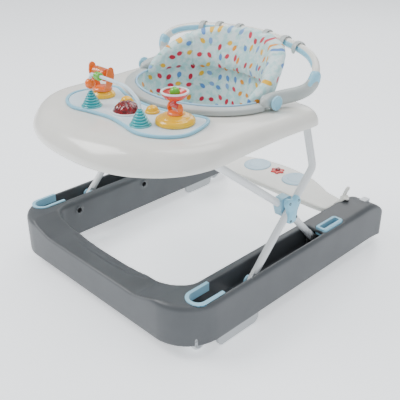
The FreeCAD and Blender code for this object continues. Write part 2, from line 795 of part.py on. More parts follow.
save("tray_clips", both_sides(make_tray_clip()))
tray_pin_length = 28.0
tray_pin_centre = V(tray_pivot.x + 8.0 - tray_pin_length / 2.0, tray_pivot.y, tray_pivot.z)
tray_pin = rod(tray_pin_centre, pin_radius, tray_pin_length, X_AXIS)


def make_saddle():
    """Hooked bracket under the tray that the cross bar lodges in."""
    top = tray_top - tray_wall - 0.5
    reach = tube_radius + 0.4
    roof = box(112, 134, cross_bar.y - 9, cross_bar.y + 20, cross_bar.z + reach, top)
    back = box(112, 134, cross_bar.y + reach, cross_bar.y + 20, cross_bar.z - 12, top)
    return roof.fuse(back).removeSplitter()


save("cross_bar_saddles", both_sides(make_saddle()))

# ---------------------------------------------------------------- back rest
cover_width = 24.0
cover_inner_x = back_pivot.x - cover_width / 2.0
cover_rear = 122.0
lug_gap = 0.6


def make_arm_cover():
    """Side arm of the back rest, round about its pivot, running back over the tray arm."""
    nose = rod(back_pivot, cover_radius, cover_width, X_AXIS)
    low = tray_top + 1.0
    high = back_pivot.z + cover_radius
    points = [V(0, back_pivot.y, low + 1.5), V(0, cover_rear, low + 4), V(0, cover_rear + 12, high - 10),
              V(0, cover_rear - 14, high + 2), V(0, back_pivot.y, high)]
    side = Part.Face(Part.makePolygon(points + [points[0]])).extrude(V(cover_width, 0, 0))
    side.translate(V(cover_inner_x, 0, 0))
    slant = FreeCAD.Matrix()
    slant.A12 = 0.32
    slant.A14 = -0.32 * back_pivot.y
    side = side.transformGeometry(slant)
    arm = nose.fuse(side)
    arm = arm.cut(rod(back_pivot, 4.0 + running_gap, 60.0, X_AXIS))
    knob_well = rod(V(back_pivot.x + cover_width / 2.0, back_pivot.y, back_pivot.z), 9.0, 14.0, X_AXIS)
    knob_room = rod(V(back_pivot.x + cover_width / 2.0 + 15.0, back_pivot.y, back_pivot.z), knob_radius + 0.6,
                    30.0, X_AXIS)
    return arm.cut(knob_well).cut(knob_room).removeSplitter()


hoop_foot = V(back_pivot.x + 29.0, cover_rear - 8.0, back_pivot.z + 8.0)
hoop_points = [hoop_foot, V(228.0, 134.0, 474.0), V(150.0, 190.0, hoop_top - 9.0), V(52.0, hoop_rear, hoop_top)]
hoop_route = hoop_points + [V(-point.x, point.y, point.z) for point in reversed(hoop_points)]
hoop_path = rounded_path(hoop_route, 38.0)
hoop_solid = swept(hoop_path, hoop_radius)
hoop = hoop_solid.cut(swept(hoop_path, hoop_radius - 2.0))
save("back_hoop", hoop)
arm_cover = make_arm_cover().cut(hoop_solid)
save("arm_covers", both_sides(arm_cover))


def make_lug():
    """Upright lug on the tray, inside the arm cover, that holds the back rest pin."""
    outside = cover_inner_x - lug_gap
    lug = box(outside - 5.0, outside, back_pivot.y - 9, back_pivot.y + 9, tray_top - 12, back_pivot.z)
    lug = lug.fuse(rod(V(outside - 2.5, back_pivot.y, back_pivot.z), 9.0, 5.0, X_AXIS))
    well_side = ring_half_x - tray_hole_inset - 1.1
    foot = box(outside - 5.0, well_side, back_pivot.y - 9, back_pivot.y + 9, tray_top - 12, tray_top - 2)
    return lug.fuse(foot).cut(rod(back_pivot, 4.0, 80.0, X_AXIS)).removeSplitter()


save("back_pivot_lugs", both_sides(make_lug()))
pin_start = cover_inner_x - lug_gap - 5.0
pin_end = back_pivot.x + cover_width / 2.0 - 8.0
back_pin = rod(V((pin_start + pin_end) / 2.0, back_pivot.y, back_pivot.z), 4.0, pin_end - pin_start, X_AXIS)
save("tray_pins", both_sides(Part.makeCompound([tray_pin, back_pin])))


def make_knob():
    """Round push knob on the outside of the arm cover."""
    face = back_pivot.x + cover_width / 2.0
    cap = rod(V(face + 8.0, back_pivot.y, back_pivot.z), knob_radius, 6.0, X_AXIS)
    rims = [edge for edge in cap.Edges if len(edge.Vertexes) == 1 and edge.CenterOfMass.x > face + 8.0]
    cap = round_edges(cap, rims, 2.5)
    stem = rod(V(face + 3.0, back_pivot.y, back_pivot.z), 8.7, 6.0, X_AXIS)
    return cap.fuse(stem).removeSplitter()


save_pair("lock_knob", make_knob())


def hook_at(share):
    """Open ring clip round the hoop at a share of its length."""
    edges = hoop_path.OrderedEdges
    total = sum(edge.Length for edge in edges)
    target = total * share
    for edge in edges:
        if target <= edge.Length:
            parameter = edge.getParameterByLength(target)
            centre = edge.valueAt(parameter)
            direction = edge.tangentAt(parameter)
            ring = rod(centre, hoop_radius + 3.0, 12.0, direction)
            return ring.cut(rod(centre, hoop_radius + running_gap, 40.0, direction))
        target -= edge.Length
    return None


hook_shares = (0.055, 0.335, 0.445, 0.555, 0.665, 0.945)
hooks = []
for share in hook_shares:
    hooks.append(hook_at(share))
save("cover_hooks", Part.makeCompound(hooks).cut(hoop_solid))


def back_pad_block(inset, bottom, top):
    """Tapered elliptical block that the padded back follows."""
    low = ellipse_wire(V(0, seat_centre_y, bottom), ring_half_x - ring_band - inset, ring_half_y - ring_band - inset)
    high = ellipse_wire(V(0, seat_centre_y + 6, top), ring_half_x - ring_band + 4 - inset,
                        ring_half_y - ring_band + 20 - inset)
    return Part.makeLoft([low, high], True, False)


def make_back_pad():
    """Curved padded back inside the hoop."""
    bottom = ring_bottom + ring_height + 3.0
    top = hoop_top + 6.0
    pad = back_pad_block(8.0, bottom, top).cut(back_pad_block(8.0 + pad_thickness, bottom - 1, top + 1))
    front_plane = [V(-300, back_pivot.y + 24, bottom - 5), V(-300, back_pivot.y + 70, top + 5), V(-300, 400, top + 5),
                   V(-300, 400, bottom - 5)]
    keep = Part.Face(Part.makePolygon(front_plane + [front_plane[0]])).extrude(V(600, 0, 0))
    return pad.common(keep)


save("back_pad", make_back_pad())

# ---------------------------------------------------------------- play panel
panel_low = tray_top + 0.2
panel_high = panel_low + panel_thickness


def panel_outline(inset, z):
    """Kidney-shaped plan of the play panel, wrapped round the seat ring."""
    half = panel_half_width - inset
    front = -248.0 + inset
    dip = -232.0 + inset
    side = -176.0
    corner = V(148.0 - inset * 0.5, -98.0 - inset, z)
    rear = -128.0 - inset
    right = [V(0, dip, z), V(50.0, dip - 7.0, z), V(105.0, front, z), V(half - 22, front + 24, z), V(half, side, z),
             corner, V(75.0, rear + 10.0, z)]
    left = [V(-point.x, point.y, z) for point in reversed(right[1:])]
    curve = Part.BSplineCurve()
    curve.interpolate(Points=right + [V(0, rear, z)] + left, PeriodicFlag=True)
    return Part.Wire(curve.toShape())


panel_rim_width = 7.0
panel_inner = Part.Face(panel_outline(panel_rim_width + fit_gap, panel_low)).extrude(V(0, 0, panel_thickness))
rim_core = Part.Face(panel_outline(panel_rim_width, panel_low - 1)).extrude(V(0, 0, panel_thickness + 6))
panel_rim = Part.Face(panel_outline(0.0, panel_low)).extrude(V(0, 0, panel_thickness + 2.0)).cut(rim_core)
save("panel_rim", panel_rim)

housing = box(-housing_half_x, housing_half_x, housing_front, housing_rear, tray_top - 32, panel_low)
housing_room = box(-housing_half_x + 2.5, housing_half_x - 2.5, housing_front + 2.5, housing_rear - 2.5,
                   tray_top - 29.5, panel_low + 10)
save("music_box", housing.cut(housing_room))
board = box(-40, 40, housing_front + 8, housing_rear - 8, tray_top - 17, tray_top - 15.4)
save("circuit_board", board)
speaker = Part.makeCone(14.0, 22.0, 8.0, V(0, (housing_front + housing_rear) / 2.0, tray_top - 29.4), Z_AXIS)
save("speaker", speaker)
save("battery_door", box(-36, 36, housing_front + 8, housing_rear - 8, tray_top - 34.6, tray_top - 32.1))

dome_centre = V(0, dome_y, panel_high)
button_centres = [V(sign * button_x, button_y, panel_high) for sign in (1, -1)]
play_panel = panel_inner
well_tools = [Part.makeCylinder(dome_radius + 0.4, 20, dome_centre - Z_AXIS * 10, Z_AXIS)]
for centre in button_centres:
    well_tools.append(Part.makeCylinder(button_radius + 0.4, 20, centre - Z_AXIS * 10, Z_AXIS))
for tool in well_tools:
    play_panel = play_panel.cut(tool)
save("play_panel", play_panel)

bezel = Part.makeCylinder(dome_radius + 3.0, 3.0, dome_centre + Z_AXIS * 0.1, Z_AXIS)
bezel = bezel.cut(Part.makeCylinder(dome_radius + 0.4, 20, dome_centre - Z_AXIS * 10, Z_AXIS))
save("dome_bezel", bezel)
dome_key = Part.makeCylinder(dome_radius, 4.0, dome_centre - Z_AXIS * 0.8, Z_AXIS)
dome_key = dome_key.fuse(dome(dome_centre + Z_AXIS * 3.2, dome_radius - 1.0, 17.0)).removeSplitter()
save("dome_button", dome_key)
for (side, sign), centre in zip(SIDES.items(), button_centres):
    key = Part.makeCylinder(button_radius, 5.0, centre - Z_AXIS * 0.8, Z_AXIS)
    key = key.fuse(dome(centre + Z_AXIS * 4.2, button_radius - 0.5, 10.0)).removeSplitter()
    save("play_button_" + side, key)


def make_spring():
    """Ribbed cone that carries one end of the arch."""
    ribs = 6
    outline = [(0.0, 0.0), (21.0, 0.0)]
    for rib in range(ribs):
        low = 2.0 + (spring_height - 2.0) * rib / ribs
        high = 2.0 + (spring_height - 2.0) * (rib + 1) / ribs
        radius = 19.0 - 13.0 * rib / (ribs - 1)
        outline.extend([(radius, low), (radius, high - 1.6), (radius - 3.0, high - 1.6), (radius - 3.0, high)])
    outline.append((0.0, spring_height))
    return turned(V(arch_half_span, arch_y, panel_high + 0.1), outline)


save("arch_springs", both_sides(make_spring()))

arch_low = panel_high + spring_height + 1.8
arch_high = panel_high + arch_height
bead_x = -48.0
arch_points = [V(-arch_half_span, arch_y, arch_low), V(-arch_half_span, arch_y, arch_high),
               V(34.0, arch_y, arch_high), V(arch_half_span, arch_y, arch_high - 22.0),
               V(arch_half_span, arch_y, arch_low)]
arch = swept(rounded_path(arch_points, 12.0), arch_tube_radius)
save("toy_arch", arch)
bead = rod(V(bead_x, arch_y, arch_high), 8.0, 16.0, X_AXIS)
bead = round_edges(bead, [edge for edge in bead.Edges if len(edge.Vertexes) == 1], 3.0)
save("arch_bead", bead.cut(rod(V(bead_x, arch_y, arch_high), arch_tube_radius + 0.1, 60.0, X_AXIS)))
ball_centre = V(-arch_half_span, arch_y, arch_low + 13.0)
ball = Part.makeSphere(11.0, ball_centre)
save("arch_ball", ball.cut(rod(ball_centre, arch_tube_radius + 0.1, 60.0, Z_AXIS)))

toy_low = panel_high + 0.1
left_toy = V(-toy_x, toy_y, toy_low)
right_toy = V(toy_x, toy_y, toy_low)


def puck(centre, radius, height):
    """Round toy base with a softened upper edge."""
    disc = Part.makeCylinder(radius, height, centre, Z_AXIS)
    rims = [edge for edge in disc.Edges if len(edge.Vertexes) == 1 and edge.CenterOfMass.z > centre.z + 1]
    return round_edges(disc, rims, 5.0)


def make_fork(centre, half_gap, top, pin_height):
    """Two prongs on a foot, with a cross pin near their tops."""
    foot = box(centre.x - half_gap - 5, centre.x + half_gap + 5, centre.y - 8, centre.y + 8, centre.z, centre.z + 8)
    prongs = []
    for sign in (-1, 1):
        near = centre.x + sign * half_gap
        prongs.append(box(near, near + sign * 5, centre.y - 7, centre.y + 7, centre.z, top))
    fork = foot.fuse(prongs)
    pin = rod(V(centre.x, centre.y, pin_height), 2.0, 2 * half_gap + 4, X_AXIS)
    return fork.fuse(pin).removeSplitter()


left_puck_height = 14.0
right_puck_height = 17.0
left_puck = puck(left_toy, 28.0, left_puck_height)
right_puck = puck(right_toy, 40.0, right_puck_height)
save("toy_bases", Part.makeCompound([left_puck, right_puck]))
toy_top = panel_high + toy_height
drum_z = toy_top - 14.0
left_fork = make_fork(left_toy + Z_AXIS * left_puck_height, 21.0, toy_top, drum_z)
save("left_toy_fork", left_fork)
drum = rod(V(left_toy.x, left_toy.y, drum_z), 14.0, 38.0, X_AXIS)
drum = drum.cut(rod(V(left_toy.x, left_toy.y, drum_z), 2.1, 60.0, X_AXIS))
save("spin_drum", drum)
bowl_z = toy_top - 6.0
bowl_pivot = V(right_toy.x, right_toy.y, bowl_z - 22.0)
right_fork = make_fork(right_toy + Z_AXIS * right_puck_height, 11.0, bowl_pivot.z + 4.0, bowl_pivot.z)
save("right_toy_fork", right_fork)
bowl_centre = V(right_toy.x, right_toy.y, bowl_z - 11.0)
bowl = turned(bowl_centre, [(0.0, 0.0), (14.0, 0.0), (26.0, 12.0), (26.0, 17.0), (21.0, 17.0), (12.0, 6.0), (0.0, 5.0)])
bowl_post = Part.makeCylinder(2.5, 11.0, bowl_pivot, Z_AXIS)
right_hub = rod(bowl_pivot, 5.0, 21.4, X_AXIS)
right_hub = right_hub.cut(rod(bowl_pivot, 2.1, 60.0, X_AXIS))
bowl = bowl.fuse(bowl_post.cut(rod(bowl_pivot, 4.0, 60.0, X_AXIS)))
save("spin_bowl", bowl.fuse(right_hub).removeSplitter())
bowl_ball = Part.makeSphere(10.0, bowl_centre + Z_AXIS * 15.4)
save("bowl_ball", bowl_ball)

# ---------------------------------------------------------------- rear foot panel


def make_foot_panel():
    """Plate across the rear with arms that plug onto the rail ends."""
    low = foot_panel_z
    high = low + foot_panel_thickness
    right = [V(0, foot_panel_front, low), V(110, foot_panel_front - 2, low), V(rail_inner - 6, foot_panel_front + 2, low),
             V(rail_inner - 1.5, 262, low), V(rail_inner - 1.5, 300, low), V(188, 304, low), V(135, 330, low),
             V(70, foot_panel_rear - 6, low)]
    left = [V(-point.x, point.y, low) for point in reversed(right[1:])]
    points = right + [V(0, foot_panel_rear, low)] + left
    plate = Part.Face(Part.makePolygon(points + [points[0]])).extrude(V(0, 0, foot_panel_thickness))
    tops = []
    for sign in (-1, 1):
        arm = box(sign * 196, sign * 240, 264, 324, rail_top + 0.3, rail_top + 6.0)
        riser = box(sign * 196, sign * (rail_inner - 1.5), 262, 300, high - 2, rail_top + 6.0)
        fin = box(sign * 217, sign * 227, 304, 318, rail_top + 5, rail_top + 20)
        tops.extend([arm, riser, fin])
    panel = plate.fuse(tops)
    room = Part.Face(Part.makePolygon([V(p.x * 0.94, 295 + (p.y - 295) * 0.9, low - 1) for p in points + [points[0]]]))
    panel = panel.cut(room.extrude(V(0, 0, foot_panel_thickness - 3.0 + 1)).common(box(-190, 190, 0, 400, 0, 200)))
    wells = [Part.makeCylinder(flower_radius + 0.4, 30, V(0, foot_pad_y + 6, low - 5), Z_AXIS)]
    for sign in (-1, 1):
        wells.append(ellipse_block(V(sign * foot_pad_x, foot_pad_y, low - 5), 36.4, 40.4, 30))
    for well in wells:
        panel = panel.cut(well)
    return panel.removeSplitter()


save("foot_panel", make_foot_panel())
pad_high = foot_panel_z + foot_panel_thickness + 4.5
foot_pad = ellipse_block(V(foot_pad_x, foot_pad_y, pad_high - 11), 36.0, 40.0, 11)
foot_pad = foot_pad.cut(Part.makeCylinder(flower_radius + 2, 30, V(0, foot_pad_y + 6, pad_high - 20), Z_AXIS))
save_pair("foot_pad", foot_pad)


def make_flower():
    """Round button with petal lobes and a raised middle."""
    base = V(0, foot_pad_y + 6, pad_high - 10)
    flower = Part.makeCylinder(flower_radius * 0.72, 10, base, Z_AXIS)
    petals = []
    lobes = 6
    for lobe in range(lobes):
        angle = 2 * math.pi * lobe / lobes
        offset = V(math.cos(angle), math.sin(angle), 0) * (flower_radius * 0.62)
        petals.append(Part.makeCylinder(flower_radius * 0.38, 10, base + offset, Z_AXIS))
    middle = dome(base + Z_AXIS * 10, flower_radius * 0.4, 3.5)
    return flower.fuse(petals).fuse(middle).removeSplitter()


save("flower_button", make_flower())
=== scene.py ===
"""Baby walker: smooth shells, soft seat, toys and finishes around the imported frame.

Lengths in the classes are millimetres; points go to Blender in metres through place().
+X is left-right, -Y is the front, +Z is up, and the floor is at z = 0.
"""

import enum
import json
import logging
import math
import random
from dataclasses import dataclass, field
from typing import Callable, Sequence

import bmesh
import bpy
from mathutils import Euler, Matrix, Vector


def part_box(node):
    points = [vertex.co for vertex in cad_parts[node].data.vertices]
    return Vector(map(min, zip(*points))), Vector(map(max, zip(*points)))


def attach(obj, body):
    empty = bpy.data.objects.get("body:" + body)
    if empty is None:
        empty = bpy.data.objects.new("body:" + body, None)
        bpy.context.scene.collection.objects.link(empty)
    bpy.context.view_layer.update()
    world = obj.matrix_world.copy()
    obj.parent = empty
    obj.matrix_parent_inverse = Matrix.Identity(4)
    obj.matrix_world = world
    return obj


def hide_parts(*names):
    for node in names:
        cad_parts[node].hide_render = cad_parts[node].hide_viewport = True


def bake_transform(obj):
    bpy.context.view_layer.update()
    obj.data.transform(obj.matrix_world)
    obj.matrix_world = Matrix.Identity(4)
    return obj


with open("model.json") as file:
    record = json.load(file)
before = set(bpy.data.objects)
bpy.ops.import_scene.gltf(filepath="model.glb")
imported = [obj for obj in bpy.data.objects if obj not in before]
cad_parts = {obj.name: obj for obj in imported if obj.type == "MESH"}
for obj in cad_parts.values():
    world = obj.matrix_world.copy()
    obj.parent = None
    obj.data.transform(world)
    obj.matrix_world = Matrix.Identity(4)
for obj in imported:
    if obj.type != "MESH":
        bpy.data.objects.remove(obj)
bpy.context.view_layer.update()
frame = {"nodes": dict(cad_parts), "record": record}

MM = 0.001
LOG = logging.getLogger("baby_walker")

Plan = list[tuple[float, float]]
Piece = bpy.types.Object


class Body(enum.Enum):
    """Moving bodies of the walker that added pieces ride on."""

    BASE = "root"
    TRAY = "tray"
    BACK = "back_rest"
    OUTER = "outer_frame"
    INNER = "inner_frame"
    PANEL = "panel_rear"


class Side(enum.IntEnum):
    """Side of the walker, as the sign of X."""

    LEFT = -1
    RIGHT = 1


# ---------------------------------------------------------------- geometry helpers


def place(x: float, y: float, z: float) -> Vector:
    """Point in metres from millimetres."""
    return Vector((x, y, z)) * MM


def blend_value(low: float, high: float, share: float) -> float:
    """Value between two others at a share from 0 to 1."""
    return low + (high - low) * share


def ease(share: float) -> float:
    """Smooth step from 0 to 1."""
    share = min(1.0, max(0.0, share))
    return share * share * (3.0 - 2.0 * share)


def table_value(table: Sequence[tuple[float, ...]], key: float) -> tuple[float, ...]:
    """Row of a table at a key, straight between its rows.

    Args:
        table: Rows of (key, value, ...) with rising keys.
        key: Where to read it.

    Returns:
        The values, without the key.
    """
    if key <= table[0][0]:
        return table[0][1:]
    for low, high in zip(table, table[1:]):
        if key <= high[0]:
            share = (key - low[0]) / (high[0] - low[0])
            return tuple(blend_value(a, b, share) for a, b in zip(low[1:], high[1:]))
    return table[-1][1:]


def curve_through(points: Sequence[Vector], count: int, closed: bool = False) -> list[Vector]:
    """Evenly spaced points on a smooth curve through the given ones.

    Args:
        points: Points that the curve passes through.
        count: How many points to return.
        closed: Whether the curve runs back to its start.

    Returns:
        Points at equal distances along the curve.
    """
    steps = 24
    last = len(points)
    dense: list[Vector] = []
    for index in range(last if closed else last - 1):
        if closed:
            quad = [points[(index + offset) % last] for offset in (-1, 0, 1, 2)]
        else:
            before = points[index - 1] if index > 0 else points[0] * 2.0 - points[1]
            after = points[index + 2] if index + 2 < last else points[-1] * 2.0 - points[-2]
            quad = [before, points[index], points[index + 1], after]
        for step in range(steps):
            t = step / steps
            a, b, c, d = quad
            dense.append(0.5 * (2.0 * b + (c - a) * t + (2.0 * a - 5.0 * b + 4.0 * c - d) * t * t
                                + (3.0 * b - a - 3.0 * c + d) * t * t * t))
    dense.append(points[0].copy() if closed else points[-1].copy())
    lengths = [0.0]
    for a, b in zip(dense, dense[1:]):
        lengths.append(lengths[-1] + (b - a).length)
    parts = count if closed else count - 1
    result = []
    cursor = 0
    for index in range(count):
        target = lengths[-1] * index / parts
        while cursor < len(dense) - 2 and lengths[cursor + 1] < target:
            cursor += 1
        span = max(lengths[cursor + 1] - lengths[cursor], 1e-9)
        result.append(dense[cursor].lerp(dense[cursor + 1], (target - lengths[cursor]) / span))
    return result


def inset_plan(plan: Plan, distance: float) -> Plan:
    """Closed plan outline moved inwards along its corner normals.

    Args:
        plan: Anticlockwise outline.
        distance: How far inwards, or outwards if negative.

    Returns:
        The moved outline, with as many points.
    """
    result = []
    count = len(plan)
    for index, (x, y) in enumerate(plan):
        x0, y0 = plan[index - 1]
        x1, y1 = plan[(index + 1) % count]
        run = math.hypot(x1 - x0, y1 - y0) or 1.0
        result.append((x - (y1 - y0) / run * distance, y + (x1 - x0) / run * distance))
    return result


def anticlockwise(plan: Plan) -> Plan:
    """The outline in anticlockwise order."""
    area = sum(a[0] * b[1] - b[0] * a[1] for a, b in zip(plan, plan[1:] + plan[:1]))
    return plan if area > 0 else plan[::-1]


def smooth_plan(corners: Plan, count: int) -> Plan:
    """Closed smooth outline through a few points."""
    dense = curve_through([Vector((x, y, 0.0)) for x, y in corners], count, closed=True)
    return anticlockwise([(point.x, point.y) for point in dense])


def mirrored_plan(right: Plan) -> Plan:
    """Closed outline from its right half, listed from the front to the rear."""
    left = [(-x, y) for x, y in reversed(right) if abs(x) > 1e-6]
    return right + left


def oval_plan(centre: tuple[float, float], half_x: float, half_y: float, count: int = 64) -> Plan:
    """Anticlockwise ellipse."""
    turns = [2.0 * math.pi * index / count for index in range(count)]
    return [(centre[0] + half_x * math.cos(a), centre[1] + half_y * math.sin(a)) for a in turns]


def rounded_section(width: float, height: float, power: float = 3.2, count: int = 24) -> Plan:
    """Cross-section between an ellipse and a rectangle."""
    section = []
    for index in range(count):
        angle = 2.0 * math.pi * index / count
        cos_a, sin_a = math.cos(angle), math.sin(angle)
        x = math.copysign(abs(cos_a) ** (2.0 / power), cos_a) * width / 2.0
        y = math.copysign(abs(sin_a) ** (2.0 / power), sin_a) * height / 2.0
        section.append((x, y))
    return section


# ---------------------------------------------------------------- mesh helpers


def make_mesh(name: str, points: Sequence[Vector], faces: Sequence[Sequence[int]]) -> Piece:
    """Smooth-shaded mesh with doubles merged and its normals outwards.

    Args:
        name: Piece name.
        points: Vertices in metres.
        faces: Vertex numbers of each face.

    Returns:
        The new piece, linked to the scene.
    """
    data = bpy.data.meshes.new(name)
    data.from_pydata([tuple(point) for point in points], [], faces)
    shape = bmesh.new()
    shape.from_mesh(data)
    bmesh.ops.remove_doubles(shape, verts=shape.verts, dist=1e-6)
    bmesh.ops.dissolve_degenerate(shape, dist=1e-7, edges=shape.edges)
    bmesh.ops.recalc_face_normals(shape, faces=shape.faces)
    for face in shape.faces:
        face.smooth = True
    shape.to_mesh(data)
    shape.free()
    piece = bpy.data.objects.new(name, data)
    bpy.context.scene.collection.objects.link(piece)
    return piece


def loft(name: str, rings: Sequence[Sequence[Vector]], closed: bool = True, around: bool = False,
         capped: bool = True) -> Piece:
    """Skin over rings that have the same number of points.

    Args:
        name: Piece name.
        rings: Points of each ring, in order.
        closed: Whether each ring is a closed loop.
        around: Whether the last ring joins the first.
        capped: Whether the first and last rings are filled.

    Returns:
        The lofted piece.
    """
    size = len(rings[0])
    points = [point for ring in rings for point in ring]
    faces: list[Sequence[int]] = []
    for row in range(len(rings) if around else len(rings) - 1):
        here = row * size
        there = ((row + 1) % len(rings)) * size
        for index in range(size if closed else size - 1):
            after = (index + 1) % size
            faces.append((here + index, here + after, there + after, there + index))
    if capped and not around:
        faces.append(tuple(range(size)))
        faces.append(tuple(len(points) - size + index for index in range(size)))
    return make_mesh(name, points, faces)


def settle(piece: Piece) -> Piece:
    """Apply every modifier to the piece's mesh."""
    bpy.context.view_layer.update()
    graph = bpy.context.evaluated_depsgraph_get()
    baked = bpy.data.meshes.new_from_object(piece.evaluated_get(graph))
    piece.modifiers.clear()
    piece.data = baked
    for face in piece.data.polygons:
        face.use_smooth = True
    return piece


def subdivide(piece: Piece, levels: int = 1) -> Piece:
    """Subdivision surface, applied."""
    surface = piece.modifiers.new("surface", "SUBSURF")
    surface.levels = levels
    surface.render_levels = levels
    return settle(piece)


def merge(name: str, pieces: Sequence[Piece]) -> Piece:
    """Several pieces as one mesh."""
    shape = bmesh.new()
    for piece in pieces:
        shape.from_mesh(piece.data)
        bpy.data.objects.remove(piece)
    data = bpy.data.meshes.new(name)
    shape.to_mesh(data)
    shape.free()
    piece = bpy.data.objects.new(name, data)
    bpy.context.scene.collection.objects.link(piece)
    return piece


def mirror_copy(piece: Piece) -> Piece:
    """Copy of a piece on the other side of the walker."""
    shape = bmesh.new()
    shape.from_mesh(piece.data)
    bmesh.ops.scale(shape, vec=(-1.0, 1.0, 1.0), verts=shape.verts)
    bmesh.ops.reverse_faces(shape, faces=shape.faces)
    data = bpy.data.meshes.new(piece.name + "_mirror")
    shape.to_mesh(data)
    shape.free()
    copy = bpy.data.objects.new(data.name, data)
    bpy.context.scene.collection.objects.link(copy)
    return copy


def both_sides(piece: Piece) -> Piece:
    """The piece and its mirror as one mesh under the same name."""
    name = piece.name
    piece.name = name + "_side"
    return merge(name, [piece, mirror_copy(piece)])


def sweep(name: str, path: Sequence[Vector], section: Plan, closed: bool = False,
          scale: Callable[[float], tuple[float, float]] | None = None, up: Vector = Vector((0, 0, 1)),
          round_ends: bool = True) -> Piece:
    """Section carried along a path, without twist about the up direction.

    Args:
        name: Piece name.
        path: Points in metres.
        section: Cross-section in millimetres: (sideways, upwards).
        closed: Whether the path is a loop.
        scale: Width and height factors at a share of the path.
        up: Direction that the section's height leans to.
        round_ends: Whether open ends are domed.

    Returns:
        The swept piece.
    """
    rings = []
    count = len(path)
    for index, point in enumerate(path):
        before = path[index - 1] if index > 0 or closed else path[0]
        after = path[(index + 1) % count] if index + 1 < count or closed else path[-1]
        tangent = (after - before).normalized()
        side = tangent.cross(up).normalized()
        height = side.cross(tangent).normalized()
        wide, tall = scale(index / (count - 1)) if scale else (1.0, 1.0)
        ring = [point + (side * (u * wide) + height * (v * tall)) * MM for u, v in section]
        rings.append((point, tangent, ring))
    result = [ring for _, _, ring in rings]
    if round_ends and not closed:
        depth = max(abs(v) for _, v in section) * MM * 0.8
        result = _domed(rings[0], -depth)[::-1] + result + _domed(rings[-1], depth)
    return loft(name, result, around=closed, capped=not closed)


def _domed(end: tuple[Vector, Vector, list[Vector]], depth: float) -> list[list[Vector]]:
    """Shrinking rings that dome one end of a sweep."""
    point, tangent, ring = end
    rings = []
    for angle in (25.0, 50.0, 70.0, 84.0):
        out = tangent * (depth * math.sin(math.radians(angle)))
        size = math.cos(math.radians(angle))
        rings.append([point + (corner - point) * size + out for corner in ring])
    return rings


def lathe(name: str, profile: Plan, centre: Vector, axis: Vector = Vector((0, 0, 1)),
          segments: int = 48) -> Piece:
    """Turned piece.

    Args:
        name: Piece name.
        profile: (radius, height) points in millimetres, from one end to the other.
        centre: Where height 0 is, in metres.
        axis: Direction of the height.
        segments: Steps round the axis.

    Returns:
        The turned piece.
    """
    turn = Vector((0, 0, 1)).rotation_difference(axis.normalized()).to_matrix()
    rings = []
    for radius, height in profile:
        ring = []
        for index in range(segments):
            angle = 2.0 * math.pi * index / segments
            local = Vector((radius * math.cos(angle), radius * math.sin(angle), height)) * MM
            ring.append(centre + turn @ local)
        rings.append(ring)
    return loft(name, rings, capped=profile[0][0] > 1e-6 or profile[-1][0] > 1e-6)


def plate(name: str, plan: Plan, low: float, high: float, edge: float, crown: float = 0.0,
          lay: Matrix = Matrix.Identity(3)) -> Piece:
    """Flat piece with rounded edges and, if wanted, a crowned top.

    Args:
        name: Piece name.
        plan: Anticlockwise outline in millimetres.
        low: Height of the underside.
        high: Height of the top at its edge.
        edge: Radius of the upper edge; the lower edge has half of it.
        crown: How far the middle stands above the edge.
        lay: Turns (x, y, height) to the walker's axes.

    Returns:
        The plate.
    """
    under = edge * 0.5
    levels = [(under, low), (0.2 * under, low + 0.35 * under), (0.0, low + under)]
    for angle in (0.0, 22.5, 45.0, 67.5, 90.0):
        sweep_angle = math.radians(angle)
        levels.append((edge * (1.0 - math.cos(sweep_angle)), high - edge + edge * math.sin(sweep_angle)))
    rings = []
    for inset, height in levels:
        rings.append([lay @ place(x, y, height) for x, y in inset_plan(plan, inset)])
    inner = inset_plan(plan, edge)
    middle_x = sum(x for x, _ in inner) / len(inner)
    middle_y = sum(y for _, y in inner) / len(inner)
    for size in (0.93, 0.8, 0.6, 0.38, 0.18):
        height = high + crown * (1.0 - size * size)
        ring = []
        for x, y in inner:
            ring.append(lay @ place(blend_value(middle_x, x, size), blend_value(middle_y, y, size), height))
        rings.append(ring)
    return loft(name, rings)


def ball(name: str, centre: Vector, radius: float) -> Piece:
    """Ball with a fine moulding line round its middle."""
    profile = []
    for step in range(25):
        angle = math.pi * (step / 24.0 - 0.5)
        line = 0.12 if step == 12 else 0.0
        profile.append((max((radius + line) * math.cos(angle), 0.0), radius * math.sin(angle)))
    return lathe(name, profile, centre)


# ---------------------------------------------------------------- finishes


def linear(code: str, alpha: float = 1.0) -> tuple[float, float, float, float]:
    """Linear colour from an sRGB hex code such as #A9DCE8."""
    channels = [int(code[index:index + 2], 16) / 255.0 for index in (1, 3, 5)]
    light = [c / 12.92 if c <= 0.04045 else ((c + 0.055) / 1.055) ** 2.4 for c in channels]
    return light[0], light[1], light[2], alpha


def add_node(tree: bpy.types.NodeTree, kind: str, sockets: dict | None = None, **settings) -> bpy.types.Node:
    """Add a shader node.

    Args:
        tree: The node tree.
        kind: Node type.
        sockets: Input name or number to a value, or to an output socket to link.
        settings: Attributes of the node.

    Returns:
        The node.
    """
    node = tree.nodes.new(kind)
    for key, value in settings.items():
        setattr(node, key, value)
    for key, value in (sockets or {}).items():
        if isinstance(value, bpy.types.NodeSocket):
            tree.links.new(value, node.inputs[key])
        else:
            node.inputs[key].default_value = value
    return node


def new_material(name: str) -> tuple[bpy.types.Material, bpy.types.NodeTree, bpy.types.NodeSocket]:
    """Empty node material, its tree and its object coordinates."""
    material = bpy.data.materials.new(name)
    material.use_nodes = True
    tree = material.node_tree
    tree.nodes.clear()
    coordinates = add_node(tree, "ShaderNodeTexCoord")
    return material, tree, coordinates.outputs["Object"]


def finish_material(tree: bpy.types.NodeTree, sockets: dict) -> None:
    """Principled shader with its output node."""
    shader = add_node(tree, "ShaderNodeBsdfPrincipled", sockets)
    add_node(tree, "ShaderNodeOutputMaterial", {"Surface": shader.outputs[0]})


